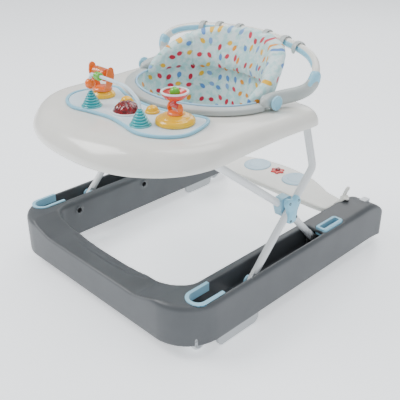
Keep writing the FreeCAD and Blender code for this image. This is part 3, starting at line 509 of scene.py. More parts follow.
@dataclass(frozen=True)
class MouldedPlastic:
    """Injection-moulded polymer: slight colour flow, a fine surface grain and a painted highlight that whitens its
    convex edges.
    """

    name: str
    colour: str
    flow: str
    roughness: float
    grain_mm: float = 0.9
    grain_depth_mm: float = 0.02
    coat: float = 0.0
    ior: float = 1.49
    # share of white painted onto convex edges as a painted highlight
    edge_wear: float = 0.12
    subsurface: float = 0.0

    def material(self) -> bpy.types.Material:
        """The material, made once."""
        if self.name in bpy.data.materials:
            return bpy.data.materials[self.name]
        material, tree, where = new_material(self.name)
        drift = add_node(tree, "ShaderNodeTexNoise", {"Vector": where, "Scale": 1.0 / (70.0 * MM), "Detail": 3.0})
        drift_range = add_node(tree, "ShaderNodeMapRange", {0: drift.outputs[0], 1: 0.3, 2: 0.7})
        body = add_node(tree, "ShaderNodeMix", {0: drift_range.outputs[0], 6: linear(self.colour),
                                                7: linear(self.flow)}, data_type="RGBA")
        # painted highlight: convex edges (high pointiness) are mixed towards white, standing in for light caught on
        # them
        geometry = add_node(tree, "ShaderNodeNewGeometry")
        edge = add_node(tree, "ShaderNodeMapRange", {0: geometry.outputs["Pointiness"], 1: 0.52, 2: 0.60, 3: 0.0,
                                                     4: self.edge_wear})
        edge_highlighted = add_node(tree, "ShaderNodeMix", {0: edge.outputs[0], 6: body.outputs[2],
                                                7: (1.0, 1.0, 1.0, 1.0)}, data_type="RGBA")
        grain = add_node(tree, "ShaderNodeTexNoise", {"Vector": where, "Scale": 1.0 / (self.grain_mm * MM),
                                                      "Detail": 4.0, "Roughness": 0.6})
        gloss = add_node(tree, "ShaderNodeMapRange", {0: grain.outputs[0], 1: 0.2, 2: 0.8,
                                                      3: self.roughness - 0.04, 4: self.roughness + 0.05})
        bump = add_node(tree, "ShaderNodeBump", {"Height": grain.outputs[0], "Strength": 1.0,
                                                 "Distance": self.grain_depth_mm * MM})
        finish_material(tree, {"Base Color": edge_highlighted.outputs[2], "Roughness": gloss.outputs[0],
                               "Normal": bump.outputs[0], "IOR": self.ior, "Coat Weight": self.coat,
                               "Coat Roughness": 0.08, "Subsurface Weight": self.subsurface,
                               "Subsurface Radius": (0.004, 0.004, 0.003)})
        return material


@dataclass(frozen=True)
class TintedClear:
    """Transparent dyed acrylic: deep colour, sharp highlights, faint moulding streaks."""

    name: str
    colour: str
    deep: str
    roughness: float = 0.06
    transmission: float = 0.45

    def material(self) -> bpy.types.Material:
        """The material, made once."""
        if self.name in bpy.data.materials:
            return bpy.data.materials[self.name]
        material, tree, where = new_material(self.name)
        cells = add_node(tree, "ShaderNodeTexVoronoi", {"Vector": where, "Scale": 1.0 / (6.0 * MM)})
        range_ = add_node(tree, "ShaderNodeMapRange", {0: cells.outputs["Distance"], 1: 0.1, 2: 0.7})
        body = add_node(tree, "ShaderNodeMix", {0: range_.outputs[0], 6: linear(self.colour),
                                                7: linear(self.deep)}, data_type="RGBA")
        bump = add_node(tree, "ShaderNodeBump", {"Height": cells.outputs["Distance"], "Strength": 0.5,
                                                 "Distance": 0.5 * MM})
        finish_material(tree, {"Base Color": body.outputs[2], "Roughness": self.roughness, "IOR": 1.49,
                               "Transmission Weight": self.transmission, "Normal": bump.outputs[0],
                               "Coat Weight": 0.6, "Coat Roughness": 0.04})
        return material


@dataclass(frozen=True)
class CoatedSteel:
    """Powder-coated steel tube: soft orange-peel in an even satin film."""

    name: str
    colour: str
    flow: str
    roughness: float = 0.32
    peel_mm: float = 1.6

    def material(self) -> bpy.types.Material:
        """The material, made once."""
        if self.name in bpy.data.materials:
            return bpy.data.materials[self.name]
        material, tree, where = new_material(self.name)
        peel = add_node(tree, "ShaderNodeTexNoise", {"Vector": where, "Scale": 1.0 / (self.peel_mm * MM),
                                                     "Detail": 1.5})
        drift = add_node(tree, "ShaderNodeTexNoise", {"Vector": where, "Scale": 1.0 / (40.0 * MM)})
        body = add_node(tree, "ShaderNodeMix", {0: drift.outputs[0], 6: linear(self.colour),
                                                7: linear(self.flow)}, data_type="RGBA")
        bump = add_node(tree, "ShaderNodeBump", {"Height": peel.outputs[0], "Strength": 1.0,
                                                 "Distance": 0.05 * MM})
        finish_material(tree, {"Base Color": body.outputs[2], "Roughness": self.roughness,
                               "Normal": bump.outputs[0], "IOR": 1.5, "Coat Weight": 0.25,
                               "Coat Roughness": 0.15})
        return material


@dataclass(frozen=True)
class ZincPlate:
    """Bright zinc-plated steel: drawn along the pin, lightly clouded."""

    name: str
    colour: str
    cloud: str
    roughness: float = 0.28

    def material(self) -> bpy.types.Material:
        """The material, made once."""
        if self.name in bpy.data.materials:
            return bpy.data.materials[self.name]
        material, tree, where = new_material(self.name)
        cloud = add_node(tree, "ShaderNodeTexNoise", {"Vector": where, "Scale": 1.0 / (5.0 * MM), "Detail": 4.0})
        body = add_node(tree, "ShaderNodeMix", {0: cloud.outputs[0], 6: linear(self.colour),
                                                7: linear(self.cloud)}, data_type="RGBA")
        gloss = add_node(tree, "ShaderNodeMapRange", {0: cloud.outputs[0], 3: self.roughness - 0.06,
                                                      4: self.roughness + 0.08})
        drawn = add_node(tree, "ShaderNodeMapping", {"Vector": where, "Scale": (1.0, 12.0, 12.0)})
        lines = add_node(tree, "ShaderNodeTexNoise", {"Vector": drawn.outputs[0], "Scale": 1.0 / (3.0 * MM)})
        bump = add_node(tree, "ShaderNodeBump", {"Height": lines.outputs[0], "Strength": 0.6,
                                                 "Distance": 0.02 * MM})
        finish_material(tree, {"Base Color": body.outputs[2], "Metallic": 1.0, "Roughness": gloss.outputs[0],
                               "Normal": bump.outputs[0]})
        return material


@dataclass(frozen=True)
class PrintedPolyester:
    """Plain-woven polyester with a scattered print of small fruit: soft sheen, visible thread, mottled ground."""

    name: str
    ground: str
    mottle: str
    inks: tuple[str, ...]
    leaf: str
    centre_y: float
    radius: float
    repeat_mm: float = 26.0
    fruit_mm: float = 6.9
    thread_mm: float = 1.3

    def material(self) -> bpy.types.Material:
        """The material, made once."""
        if self.name in bpy.data.materials:
            return bpy.data.materials[self.name]
        material, tree, where = new_material(self.name)
        flat = self._unrolled(tree, where)
        cells = add_node(tree, "ShaderNodeTexVoronoi", {"Vector": flat, "Scale": 1.0 / (self.repeat_mm * MM),
                                                        "Randomness": 0.55}, voronoi_dimensions="2D")
        seed = add_node(tree, "ShaderNodeSeparateColor", {0: cells.outputs["Color"]})
        offset = add_node(tree, "ShaderNodeVectorMath", {0: flat, 1: cells.outputs["Position"]},
                          operation="SUBTRACT")
        angle = add_node(tree, "ShaderNodeMath", {0: seed.outputs[0], 1: 2.0 * math.pi}, operation="MULTIPLY")
        turned = add_node(tree, "ShaderNodeVectorRotate", {"Vector": offset.outputs[0], "Angle": angle.outputs[0]},
                          rotation_type="Z_AXIS")
        fruit = self._blot(tree, turned.outputs[0], (0.0, 0.0), (0.82, 1.0), self.fruit_mm)
        cap = self._blot(tree, turned.outputs[0], (0.0, self.fruit_mm * 0.86), (0.75, 1.3), self.fruit_mm * 0.52)
        ink = add_node(tree, "ShaderNodeValToRGB", {0: seed.outputs[1]})
        ink.color_ramp.interpolation = "CONSTANT"
        for index, code in enumerate(self.inks):
            stop = index / len(self.inks)
            element = ink.color_ramp.elements[0] if index == 0 else ink.color_ramp.elements.new(stop)
            element.position = stop
            element.color = linear(code)
        ink.color_ramp.elements.remove(ink.color_ramp.elements[-1])
        blotch = add_node(tree, "ShaderNodeTexNoise", {"Vector": where, "Scale": 1.0 / (14.0 * MM), "Detail": 2.0})
        blotch_range = add_node(tree, "ShaderNodeMapRange", {0: blotch.outputs[0], 1: 0.42, 2: 0.6})
        ground = add_node(tree, "ShaderNodeMix", {0: blotch_range.outputs[0], 6: linear(self.ground),
                                                  7: linear(self.mottle)}, data_type="RGBA")
        leafed = add_node(tree, "ShaderNodeMix", {0: cap, 6: ground.outputs[2], 7: linear(self.leaf)},
                          data_type="RGBA")
        printed = add_node(tree, "ShaderNodeMix", {0: fruit, 6: leafed.outputs[2], 7: ink.outputs[0]},
                           data_type="RGBA")
        weave = self._weave(tree, flat)
        shaded = add_node(tree, "ShaderNodeMix", {0: 0.14, 6: printed.outputs[2], 7: weave}, data_type="RGBA",
                          blend_type="MULTIPLY")
        bump = add_node(tree, "ShaderNodeBump", {"Height": weave, "Strength": 0.7, "Distance": 0.25 * MM})
        finish_material(tree, {"Base Color": shaded.outputs[2], "Roughness": 0.82, "Normal": bump.outputs[0],
                               "Sheen Weight": 0.25, "Sheen Roughness": 0.5, "IOR": 1.45})
        return material

    def _unrolled(self, tree: bpy.types.NodeTree, where: bpy.types.NodeSocket) -> bpy.types.NodeSocket:
        """Coordinates unrolled from the seat's round wall: distance round it, then height."""
        axes = add_node(tree, "ShaderNodeSeparateXYZ", {0: where})
        back = add_node(tree, "ShaderNodeMath", {0: axes.outputs[1], 1: self.centre_y * MM}, operation="SUBTRACT")
        turn = add_node(tree, "ShaderNodeMath", {0: axes.outputs[0], 1: back.outputs[0]}, operation="ARCTAN2")
        round_ = add_node(tree, "ShaderNodeMath", {0: turn.outputs[0], 1: self.radius * MM}, operation="MULTIPLY")
        return add_node(tree, "ShaderNodeCombineXYZ", {0: round_.outputs[0], 1: axes.outputs[2]}).outputs[0]

    def _blot(self, tree: bpy.types.NodeTree, where: bpy.types.NodeSocket, middle: tuple[float, float],
              stretch: tuple[float, float], radius: float) -> bpy.types.NodeSocket:
        """Soft-edged oval mask about a point.

        Args:
            tree: The node tree.
            where: Coordinates about the motif.
            middle: The oval's centre in millimetres.
            stretch: Factors on its coordinates.
            radius: Its radius in millimetres.

        Returns:
            Mask that is 1 inside the oval.
        """
        moved = add_node(tree, "ShaderNodeVectorMath", {0: where, 1: (middle[0] * MM, middle[1] * MM, 0.0)},
                         operation="SUBTRACT")
        scaled = add_node(tree, "ShaderNodeVectorMath", {0: moved.outputs[0], 1: (1.0 / stretch[0],
                          1.0 / stretch[1] * 0.86, 0.0)}, operation="MULTIPLY")
        distance = add_node(tree, "ShaderNodeVectorMath", {0: scaled.outputs[0]}, operation="LENGTH")
        mask = add_node(tree, "ShaderNodeMapRange", {0: distance.outputs["Value"], 1: radius * 0.8 * MM,
                                                     2: radius * MM, 3: 1.0, 4: 0.0})
        return mask.outputs[0]

    def _weave(self, tree: bpy.types.NodeTree, flat: bpy.types.NodeSocket) -> bpy.types.NodeSocket:
        """Crossing threads; the real 0.3 mm thread is drawn coarser so that it shows."""
        turns = 2.0 * math.pi / (self.thread_mm * MM)
        axes = add_node(tree, "ShaderNodeSeparateXYZ", {0: flat})
        waves = []
        for axis in (0, 1):
            phase = add_node(tree, "ShaderNodeMath", {0: axes.outputs[axis], 1: turns}, operation="MULTIPLY")
            waves.append(add_node(tree, "ShaderNodeMath", {0: phase.outputs[0]}, operation="SINE"))
        crossed = add_node(tree, "ShaderNodeMath", {0: waves[0].outputs[0], 1: waves[1].outputs[0]},
                           operation="MULTIPLY")
        return add_node(tree, "ShaderNodeMapRange", {0: crossed.outputs[0], 1: -1.0, 2: 1.0}).outputs[0]


@dataclass(frozen=True)
class SolderMask:
    """Glass-epoxy board under green solder mask: faint track pattern."""

    name: str
    colour: str
    track: str

    def material(self) -> bpy.types.Material:
        """The material, made once."""
        if self.name in bpy.data.materials:
            return bpy.data.materials[self.name]
        material, tree, where = new_material(self.name)
        tracks = add_node(tree, "ShaderNodeTexBrick", {"Vector": where, "Color1": linear(self.colour),
                                                       "Color2": linear(self.colour), "Mortar": linear(self.track),
                                                       "Scale": 1.0 / (12.0 * MM), "Mortar Size": 0.04})
        finish_material(tree, {"Base Color": tracks.outputs[0], "Roughness": 0.35})
        return material


@dataclass(frozen=True)
class StudioPaper:
    """Pale seamless floor: matt with a faint lift and a very faint tooth."""

    name: str = "matt_studio_paper"
    colour: str = "#F5F8FB"
    lift: float = 0.85

    def material(self) -> bpy.types.Material:
        """The material, made once."""
        material, tree, where = new_material(self.name)
        tooth = add_node(tree, "ShaderNodeTexNoise", {"Vector": where, "Scale": 1.0 / (2.0 * MM)})
        bump = add_node(tree, "ShaderNodeBump", {"Height": tooth.outputs[0], "Strength": 0.3,
                                                 "Distance": 0.02 * MM})
        finish_material(tree, {"Base Color": linear(self.colour), "Roughness": 0.3, "Normal": bump.outputs[0],
                               "Emission Color": linear(self.colour), "Emission Strength": self.lift})
        return material


FINISHES = {
    # moulded polypropylene, spark-eroded grain: satin mid grey that greys out its highlights, with a stronger painted
    # highlight whitening its convex edges
    "grey_plastic": MouldedPlastic("moulded_satin_polypropylene_grey", "#54575A", "#4C4F52", 0.40, 0.8, 0.03,
                                   edge_wear=0.22),
    # moulded polypropylene, pale aqua: slightly translucent, soft gloss
    "aqua_plastic": MouldedPlastic("moulded_polypropylene_aqua", "#92CFE6", "#86C6E0", 0.32, subsurface=0.05),
    # moulded glass-filled nylon: matt black-grey with a dry grain
    "dark_plastic": MouldedPlastic("moulded_matt_nylon_black", "#2A2C30", "#232529", 0.55, 0.6, 0.04),
    # drawn steel pin, bright zinc plated
    "steel": ZincPlate("drawn_zinc_plated_steel", "#C9CBCE", "#AEB2B8"),
    # moulded thermoplastic rubber: dry, dull, pale grey
    "stopper_rubber": MouldedPlastic("moulded_soft_rubber_grey", "#B4B8BB", "#ABAFB3", 0.72, 1.0, 0.05),
    # moulded polypropylene, white: clean satin
    "white_plastic": MouldedPlastic("moulded_polypropylene_white", "#EDEFF1", "#E5E9EC", 0.34),
    # moulded polyurethane wheel: milky, a little softer in gloss
    "wheel_plastic": MouldedPlastic("moulded_polyurethane_milky", "#E9ECEE", "#DFE3E6", 0.45, 1.2, 0.03,
                                    subsurface=0.08),
    # welded steel tube under white powder coat
    "white_painted_steel": CoatedSteel("powder_coated_steel_white", "#EEF0F1", "#E6E9EB"),
    # moulded ABS, polished tool: warm ivory-white with a clear gloss
    "ivory_gloss_plastic": MouldedPlastic("moulded_gloss_abs_ivory", "#F0EEE7", "#E9E7DF", 0.2, 1.4, 0.006,
                                          coat=0.35, edge_wear=0.05, subsurface=0.04),
    # moulded polypropylene, warm pale grey: satin
    "pale_grey_plastic": MouldedPlastic("moulded_satin_polypropylene_pale_grey", "#BCC2C0", "#B2B9B7", 0.38),
    # moulded ABS, gloss, very pale blue
    "panel_plastic": MouldedPlastic("moulded_gloss_abs_pale_blue", "#DCEDF5", "#CFE6F2", 0.22, 1.4, 0.008,
                                    coat=0.3, subsurface=0.04),
    "teal_plastic": MouldedPlastic("moulded_gloss_abs_teal", "#1FB5BA", "#16A5AE", 0.22, 1.2, 0.008, coat=0.4),
    "yellow_plastic": MouldedPlastic("moulded_gloss_abs_yellow", "#FFC800", "#F8B800", 0.2, 1.2, 0.008, coat=0.4,
                                     subsurface=0.05),
    "orange_plastic": MouldedPlastic("moulded_gloss_abs_orange", "#FF7A0A", "#F26A00", 0.2, 1.2, 0.008, coat=0.4,
                                     subsurface=0.05),
    "green_plastic": MouldedPlastic("moulded_gloss_abs_green", "#6CC62E", "#5CB524", 0.22, 1.2, 0.008, coat=0.3),
    "coral_plastic": MouldedPlastic("moulded_gloss_abs_coral", "#E2453F", "#D63A36", 0.22, 1.2, 0.008, coat=0.4),
    # moulded ABS, satin, pale blue foot pads
    "pad_plastic": MouldedPlastic("moulded_satin_abs_pale_blue", "#C3DFEE", "#B6D6E9", 0.3, 1.0, 0.02, coat=0.15),
    # cast acrylic, dyed deep red
    "red_clear_plastic": TintedClear("cast_acrylic_deep_red", "#C01020", "#6E0712"),
    "circuit_board": SolderMask("solder_mask_green", "#1E6B3A", "#2F8A50"),
    # printed plain-woven polyester on wadding
    "printed_fabric": PrintedPolyester("woven_printed_polyester", "#E2F4F4", "#B9E4E4",
                                       ("#C81E3C", "#F29A22", "#5B8FD0", "#D8304A", "#F6BE2C", "#7FA9DC"),
                                       "#9CCBB8", centre_y=30.0, radius=150.0),
}
# white twill binding, and pale blue twill for the lining edge
WHITE_BINDING = MouldedPlastic("woven_twill_binding_white", "#F2F4F4", "#E6EAEA", 0.8, 0.7, 0.12, edge_wear=0.0)
BLUE_BINDING = MouldedPlastic("woven_twill_lining_blue", "#A9CFE6", "#98C2DD", 0.8, 0.7, 0.12, edge_wear=0.0)
# translucent dyed acrylic, orange-red, for the rolling drum
DRUM_ACRYLIC = TintedClear("cast_acrylic_orange_red", "#E5402A", "#F08A2C", transmission=0.3)


def fit(piece: Piece, body: Body, slot: str, replaced: Sequence[str] = (), finish: object = None,
        bend: tuple[Body, Body, Vector, Vector] | None = None) -> Piece:
    """Finish a piece and let it ride on its body.

    Args:
        piece: The piece, in place.
        body: Body that it rides on.
        slot: Material slot that it takes its finish from.
        replaced: Frame nodes that it stands for.
        finish: Another finish than the slot's own.
        bend: Two bodies and the points between which cloth passes from one to the other; only whether it is given is
            used: the piece is then baked in place and rides on no body.

    Returns:
        The piece.
    """
    piece.data.materials.clear()
    piece.data.materials.append((finish or FINISHES[slot]).material())
    if bend:
        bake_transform(piece)
    else:
        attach(piece, body.value)
    if replaced:
        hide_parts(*replaced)
    LOG.info("%s rides on %s, %d faces", piece.name, body.value, len(piece.data.polygons))
    return piece


def ride_named(piece: Piece, body: str, slot: str, replaced: Sequence[str] = (), finish: object = None) -> Piece:
    """Finish a piece and let it ride on a body of that name."""
    piece.data.materials.clear()
    piece.data.materials.append((finish or FINISHES[slot]).material())
    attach(piece, body)
    if replaced:
        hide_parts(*replaced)
    LOG.info("%s rides on %s, %d faces", piece.name, body, len(piece.data.polygons))
    return piece


def dress_frame() -> None:
    """Give every frame node the finish of its material slot."""
    for part in frame["record"]["subparts"]:
        node = frame["nodes"][part["node"]]
        finish = FINISHES[part["material_slot"]]
        node.data.materials.clear()
        node.data.materials.append(finish.material())
        LOG.info("%s is finished as %s", part["node"], part["material_slot"])


def node_middle(node: str) -> Vector:
    """Middle of a frame node's box, in millimetres."""
    low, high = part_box(node)
    return (low + high) / (2.0 * MM)


# ---------------------------------------------------------------- tray


@dataclass
class BaseMoulding:
    """The frame's base shell with softened creases, a scooped front bar and sloping rear noses."""

    voxel: float = 2.2
    rounds: int = 10
    nose_y: float = 296.0
    rear_y: float = 385.0
    nose_drop: float = 0.36
    nose_pull: float = 9.0

    def slope_nose(self, point: Vector) -> None:
        """Lower and draw in the rear end of a rail."""
        share = max(0.0, (point.y / MM - self.nose_y) / (self.rear_y - self.nose_y))
        point.z *= 1.0 - self.nose_drop * share * share
        point.y -= self.nose_pull * MM * share ** 3

    def build(self) -> Piece:
        """Even out the shell's mesh, smooth it and shape the rear ends."""
        mesh = frame["nodes"]["base_shell"].data.copy()
        piece = bpy.data.objects.new("base_moulding", mesh)
        bpy.context.scene.collection.objects.link(piece)
        remesh = piece.modifiers.new("voxels", "REMESH")
        remesh.mode = "VOXEL"
        remesh.voxel_size = self.voxel * MM
        smooth = piece.modifiers.new("smooth", "SMOOTH")
        smooth.factor = 0.5
        smooth.iterations = self.rounds
        settle(piece)
        for vertex in piece.data.vertices:
            self.slope_nose(vertex.co)
        for face in piece.data.polygons:
            face.use_smooth = True
        return piece

    def dress(self) -> None:
        """Put the moulding on the root body."""
        fit(self.build(), Body.BASE, "grey_plastic", ("base_shell",))


@dataclass
class Tray:
    """Bumper-shaped tray: broad round front, arms to the rear, open underneath."""

    half_width: float = 254.0
    centre_y: float = -152.0
    front: float = -342.0
    arm_end: float = 120.0
    arm_step: float = -10.0
    arm_corner: float = 26.0
    top: float = 404.0
    bottom: float = 350.0
    wall: float = 3.2
    well_half_x: float = 180.0
    well_half_y: float = 142.0
    seat_y: float = 30.0
    belly_z: float = 386.0
    front_steps: int = 72
    side_steps: int = 14

    def levels(self) -> list[tuple[float, float, float, float]]:
        """Rows of (height, side inset, front inset, roundness power) from the bottom to the top."""
        return [(350.0, 6.0, 6.0, 2.3), (356.0, 3.2, 3.0, 2.27), (362.0, 1.2, 0.8, 2.24),
                (368.0, 0.0, 0.2, 2.2), (374.0, 0.0, 2.0, 2.17), (380.0, 0.8, 5.4, 2.13),
                (386.0, 2.4, 10.2, 2.1), (391.0, 5.0, 15.4, 2.1), (395.5, 8.8, 21.2, 2.1), (399.0, 13.6, 27.4, 2.1),
                (401.6, 19.4, 34.4, 2.1), (403.2, 26.0, 42.0, 2.1), (404.0, 34.0, 50.0, 2.1)]

    def lower_edge(self, y: float) -> float:
        """Height of the lower edge, which climbs towards the rear."""
        return table_value([(-345.0, 350.0), (-290.0, 357.0), (-180.0, 364.0), (0.0, 372.2), (120.0, 372.2)], y)[0]

    def outer(self, side_in: float, front_in: float, power: float) -> Plan:
        """Outer plan from the right arm's inner rear corner round the front to the left one."""
        half = self.half_width - side_in
        arm_x = half - self.arm_step
        rear = self.arm_end - side_in * 0.3
        corner = self.arm_corner
        right: Plan = []
        for step in range(5):
            right.append((blend_value(self.well_half_x, arm_x - corner, step / 5.0), rear))
        for step in range(7):
            angle = math.radians(90.0 - 90.0 * step / 6.0)
            right.append((arm_x - corner + corner * math.cos(angle), rear - corner + corner * math.sin(angle)))
        start = rear - corner
        for step in range(1, self.side_steps):
            share = step / self.side_steps
            bend = 4.0 * share * (1.0 - share) * 2.8
            right.append((blend_value(arm_x, half, share) - bend, blend_value(start, self.centre_y, share)))
        depth = self.centre_y - (self.front + front_in)
        for step in range(self.front_steps // 2 + 1):
            angle = math.pi * step / self.front_steps
            right.append((half * math.cos(angle) ** (2.0 / power) if step < self.front_steps // 2 else 0.0,
                          self.centre_y - depth * math.sin(angle) ** (2.0 / power)))
        return right + [(-x, y) for x, y in right[-2::-1]]

    def well(self, grow: float) -> Plan:
        """Seat well's edge, point for point beside the outer plan."""
        half_x = self.well_half_x + grow
        half_y = self.well_half_y + grow
        right: Plan = []
        for step in range(5):
            right.append((half_x, self.arm_end - 0.01 * step))
        for step in range(7):
            right.append((half_x, self.arm_end - 1.0 - 12.0 * step / 6.0))
        start = right[-1][1]
        for step in range(1, self.side_steps):
            right.append((half_x, blend_value(start, self.seat_y, step / self.side_steps)))
        for step in range(self.front_steps // 2 + 1):
            angle = math.pi * step / self.front_steps
            right.append((half_x * math.cos(angle), self.seat_y - half_y * math.sin(angle)))
        return right + [(-x, y) for x, y in right[-2::-1]]

    def skin_ring(self, height: float, extra: float) -> list[Vector]:
        """One ring of the outer skin, or of the inner skin with an extra inset."""
        levels = self.levels()
        side_in, front_in, power = table_value(levels, height)
        plan = self.outer(side_in + extra, front_in + extra, power)
        ring = []
        for index, (x, y) in enumerate(plan):
            z = height
            if height < self.belly_z:
                share = (self.belly_z - height) / (self.belly_z - self.bottom)
                z = self.belly_z - share * (self.belly_z - self.lower_edge(y))
                local = table_value(levels, z)
                x, y = self.outer_point(index, local, extra)
            ring.append(place(x, y, z))
        return ring

    def outer_point(self, index: int, level: tuple[float, ...], extra: float) -> tuple[float, float]:
        """One point of the outer plan at a level."""
        key = (round(level[0] + extra, 1), round(level[1] + extra, 1), round(level[2], 2))
        if key not in self._plans:
            self._plans[key] = self.outer(*key)
        return self._plans[key][index]

    _plans: dict = field(default_factory=dict)

    def build_shell(self) -> Piece:
        """Outer skin, top, well wall and hollow underside as one wall."""
        rings = []
        for height, grow in ((376.0, 0.0), (396.0, 0.0), (402.0, 0.3), (403.5, 1.2), (404.0, 3.0)):
            rings.append([place(x, y, height) for x, y in self.well(grow)])
        inner, outer = self.well(3.0), self.outer(*self.levels()[-1][1:])
        for share in (0.2, 0.45, 0.7, 0.88):
            ring = []
            for a, b in zip(inner, outer):
                ring.append(place(blend_value(a[0], b[0], share), blend_value(a[1], b[1], share), self.top))
            rings.append(ring)
        heights = [row[0] for row in self.levels()]
        for height in reversed(heights):
            rings.append(self.skin_ring(height, 0.0))
        for height in (350.0, 356.0, 368.0, 380.0, 391.0, 399.0):
            rings.append(self.skin_ring(height, self.wall))
        for height, grow in ((400.4, 16.0), (400.4, self.wall), (376.0, self.wall)):
            rings.append([place(x, y, height) for x, y in self.well(grow)])
        rings.append(rings[0])
        shell = loft("tray_bumper", rings, closed=False, capped=False)
        self.close_ends(shell)
        return subdivide(shell)

    def close_ends(self, shell: Piece) -> None:
        """Fill the two thin loops at the arms' inner rear corners."""
        shape = bmesh.new()
        shape.from_mesh(shell.data)
        loose = [edge for edge in shape.edges if edge.is_boundary]
        bmesh.ops.holes_fill(shape, edges=loose, sides=0)
        bmesh.ops.recalc_face_normals(shape, faces=shape.faces)
        for face in shape.faces:
            face.smooth = True
        shape.to_mesh(shell.data)
        shape.free()

    def dress(self) -> None:
        """Put the shell on the tray body."""
        fit(self.build_shell(), Body.TRAY, "ivory_gloss_plastic", ("tray_shell",))


@dataclass
class SeatRing:
    """Pale grey band round the front of the seat well, with a blue lining edge inside it."""

    seat_y: float = 30.0
    half_x: float = 180.5
    half_y: float = 142.5
    width: float = 25.0
    height: float = 15.0
    bottom: float = 404.0
    end_y: float = 15.0

    def path(self, shrink: float, z: float, count: int = 90) -> list[Vector]:
        """Front stretch of the ellipse from the left end to the right end."""
        half_x, half_y = self.half_x - shrink, self.half_y - shrink
        start = math.asin((self.seat_y - self.end_y) / half_y)
        points = []
        for index in range(count):
            angle = math.pi + start + (math.pi - 2.0 * start) * index / (count - 1)
            points.append(place(half_x * math.cos(angle), self.seat_y + half_y * math.sin(angle), z))
        return points

    def dress(self) -> None:
        """Build the band and its lining edge."""
        middle = self.bottom + self.height / 2.0
        section = rounded_section(self.width, self.height, 3.0)
        band = sweep("seat_ring_band", self.path(0.0, middle), section, round_ends=True)
        fit(subdivide(band), Body.TRAY, "pale_grey_plastic", ("seat_ring",))
        lining = sweep("seat_lining_edge", self.path(self.width / 2.0 + 1.5, self.bottom + self.height - 1.0),
                       rounded_section(5.0, 4.6, 2.0, 14))
        fit(lining, Body.TRAY, "printed_fabric", finish=BLUE_BINDING)


# ---------------------------------------------------------------- soft seat


@dataclass
class ClothPlump:
    """Swells a closed shape like wadding in a sewn cover, by cloth simulation under inner pressure."""

    voxel: float = 5.0
    pressure: float = 4.0
    frames: int = 20
    reach: float = 7.0

    def run(self, piece: Piece) -> Piece:
        """Simulate and apply.

        Args:
            piece: Closed shape, a little smaller than the pad.

        Returns:
            The same piece with its swollen mesh.
        """
        remesh = piece.modifiers.new("voxels", "REMESH")
        remesh.mode = "VOXEL"
        remesh.voxel_size = self.voxel * MM
        settle(piece)
        rest = [vertex.co.copy() for vertex in piece.data.vertices]
        cloth = piece.modifiers.new("cloth", "CLOTH")
        cloth.settings.quality = 5
        cloth.settings.mass = 0.2
        cloth.settings.tension_stiffness = 12.0
        cloth.settings.compression_stiffness = 12.0
        cloth.settings.bending_stiffness = 0.4
        cloth.settings.use_pressure = True
        cloth.settings.uniform_pressure_force = self.pressure
        cloth.settings.effector_weights.gravity = 0.0
        cloth.collision_settings.use_collision = False
        cloth.point_cache.frame_start = 1
        cloth.point_cache.frame_end = self.frames
        scene = bpy.context.scene
        for number in range(1, self.frames + 1):
            scene.frame_set(number)
        graph = bpy.context.evaluated_depsgraph_get()
        swollen = [vertex.co.copy() for vertex in piece.evaluated_get(graph).data.vertices]
        piece.modifiers.remove(cloth)
        limit = self.reach * MM
        for vertex, before, after in zip(piece.data.vertices, rest, swollen):
            move = after - before
            if move.length > limit:
                move = move.normalized() * limit
            vertex.co = before + move
        scene.frame_set(1)
        return subdivide(piece)


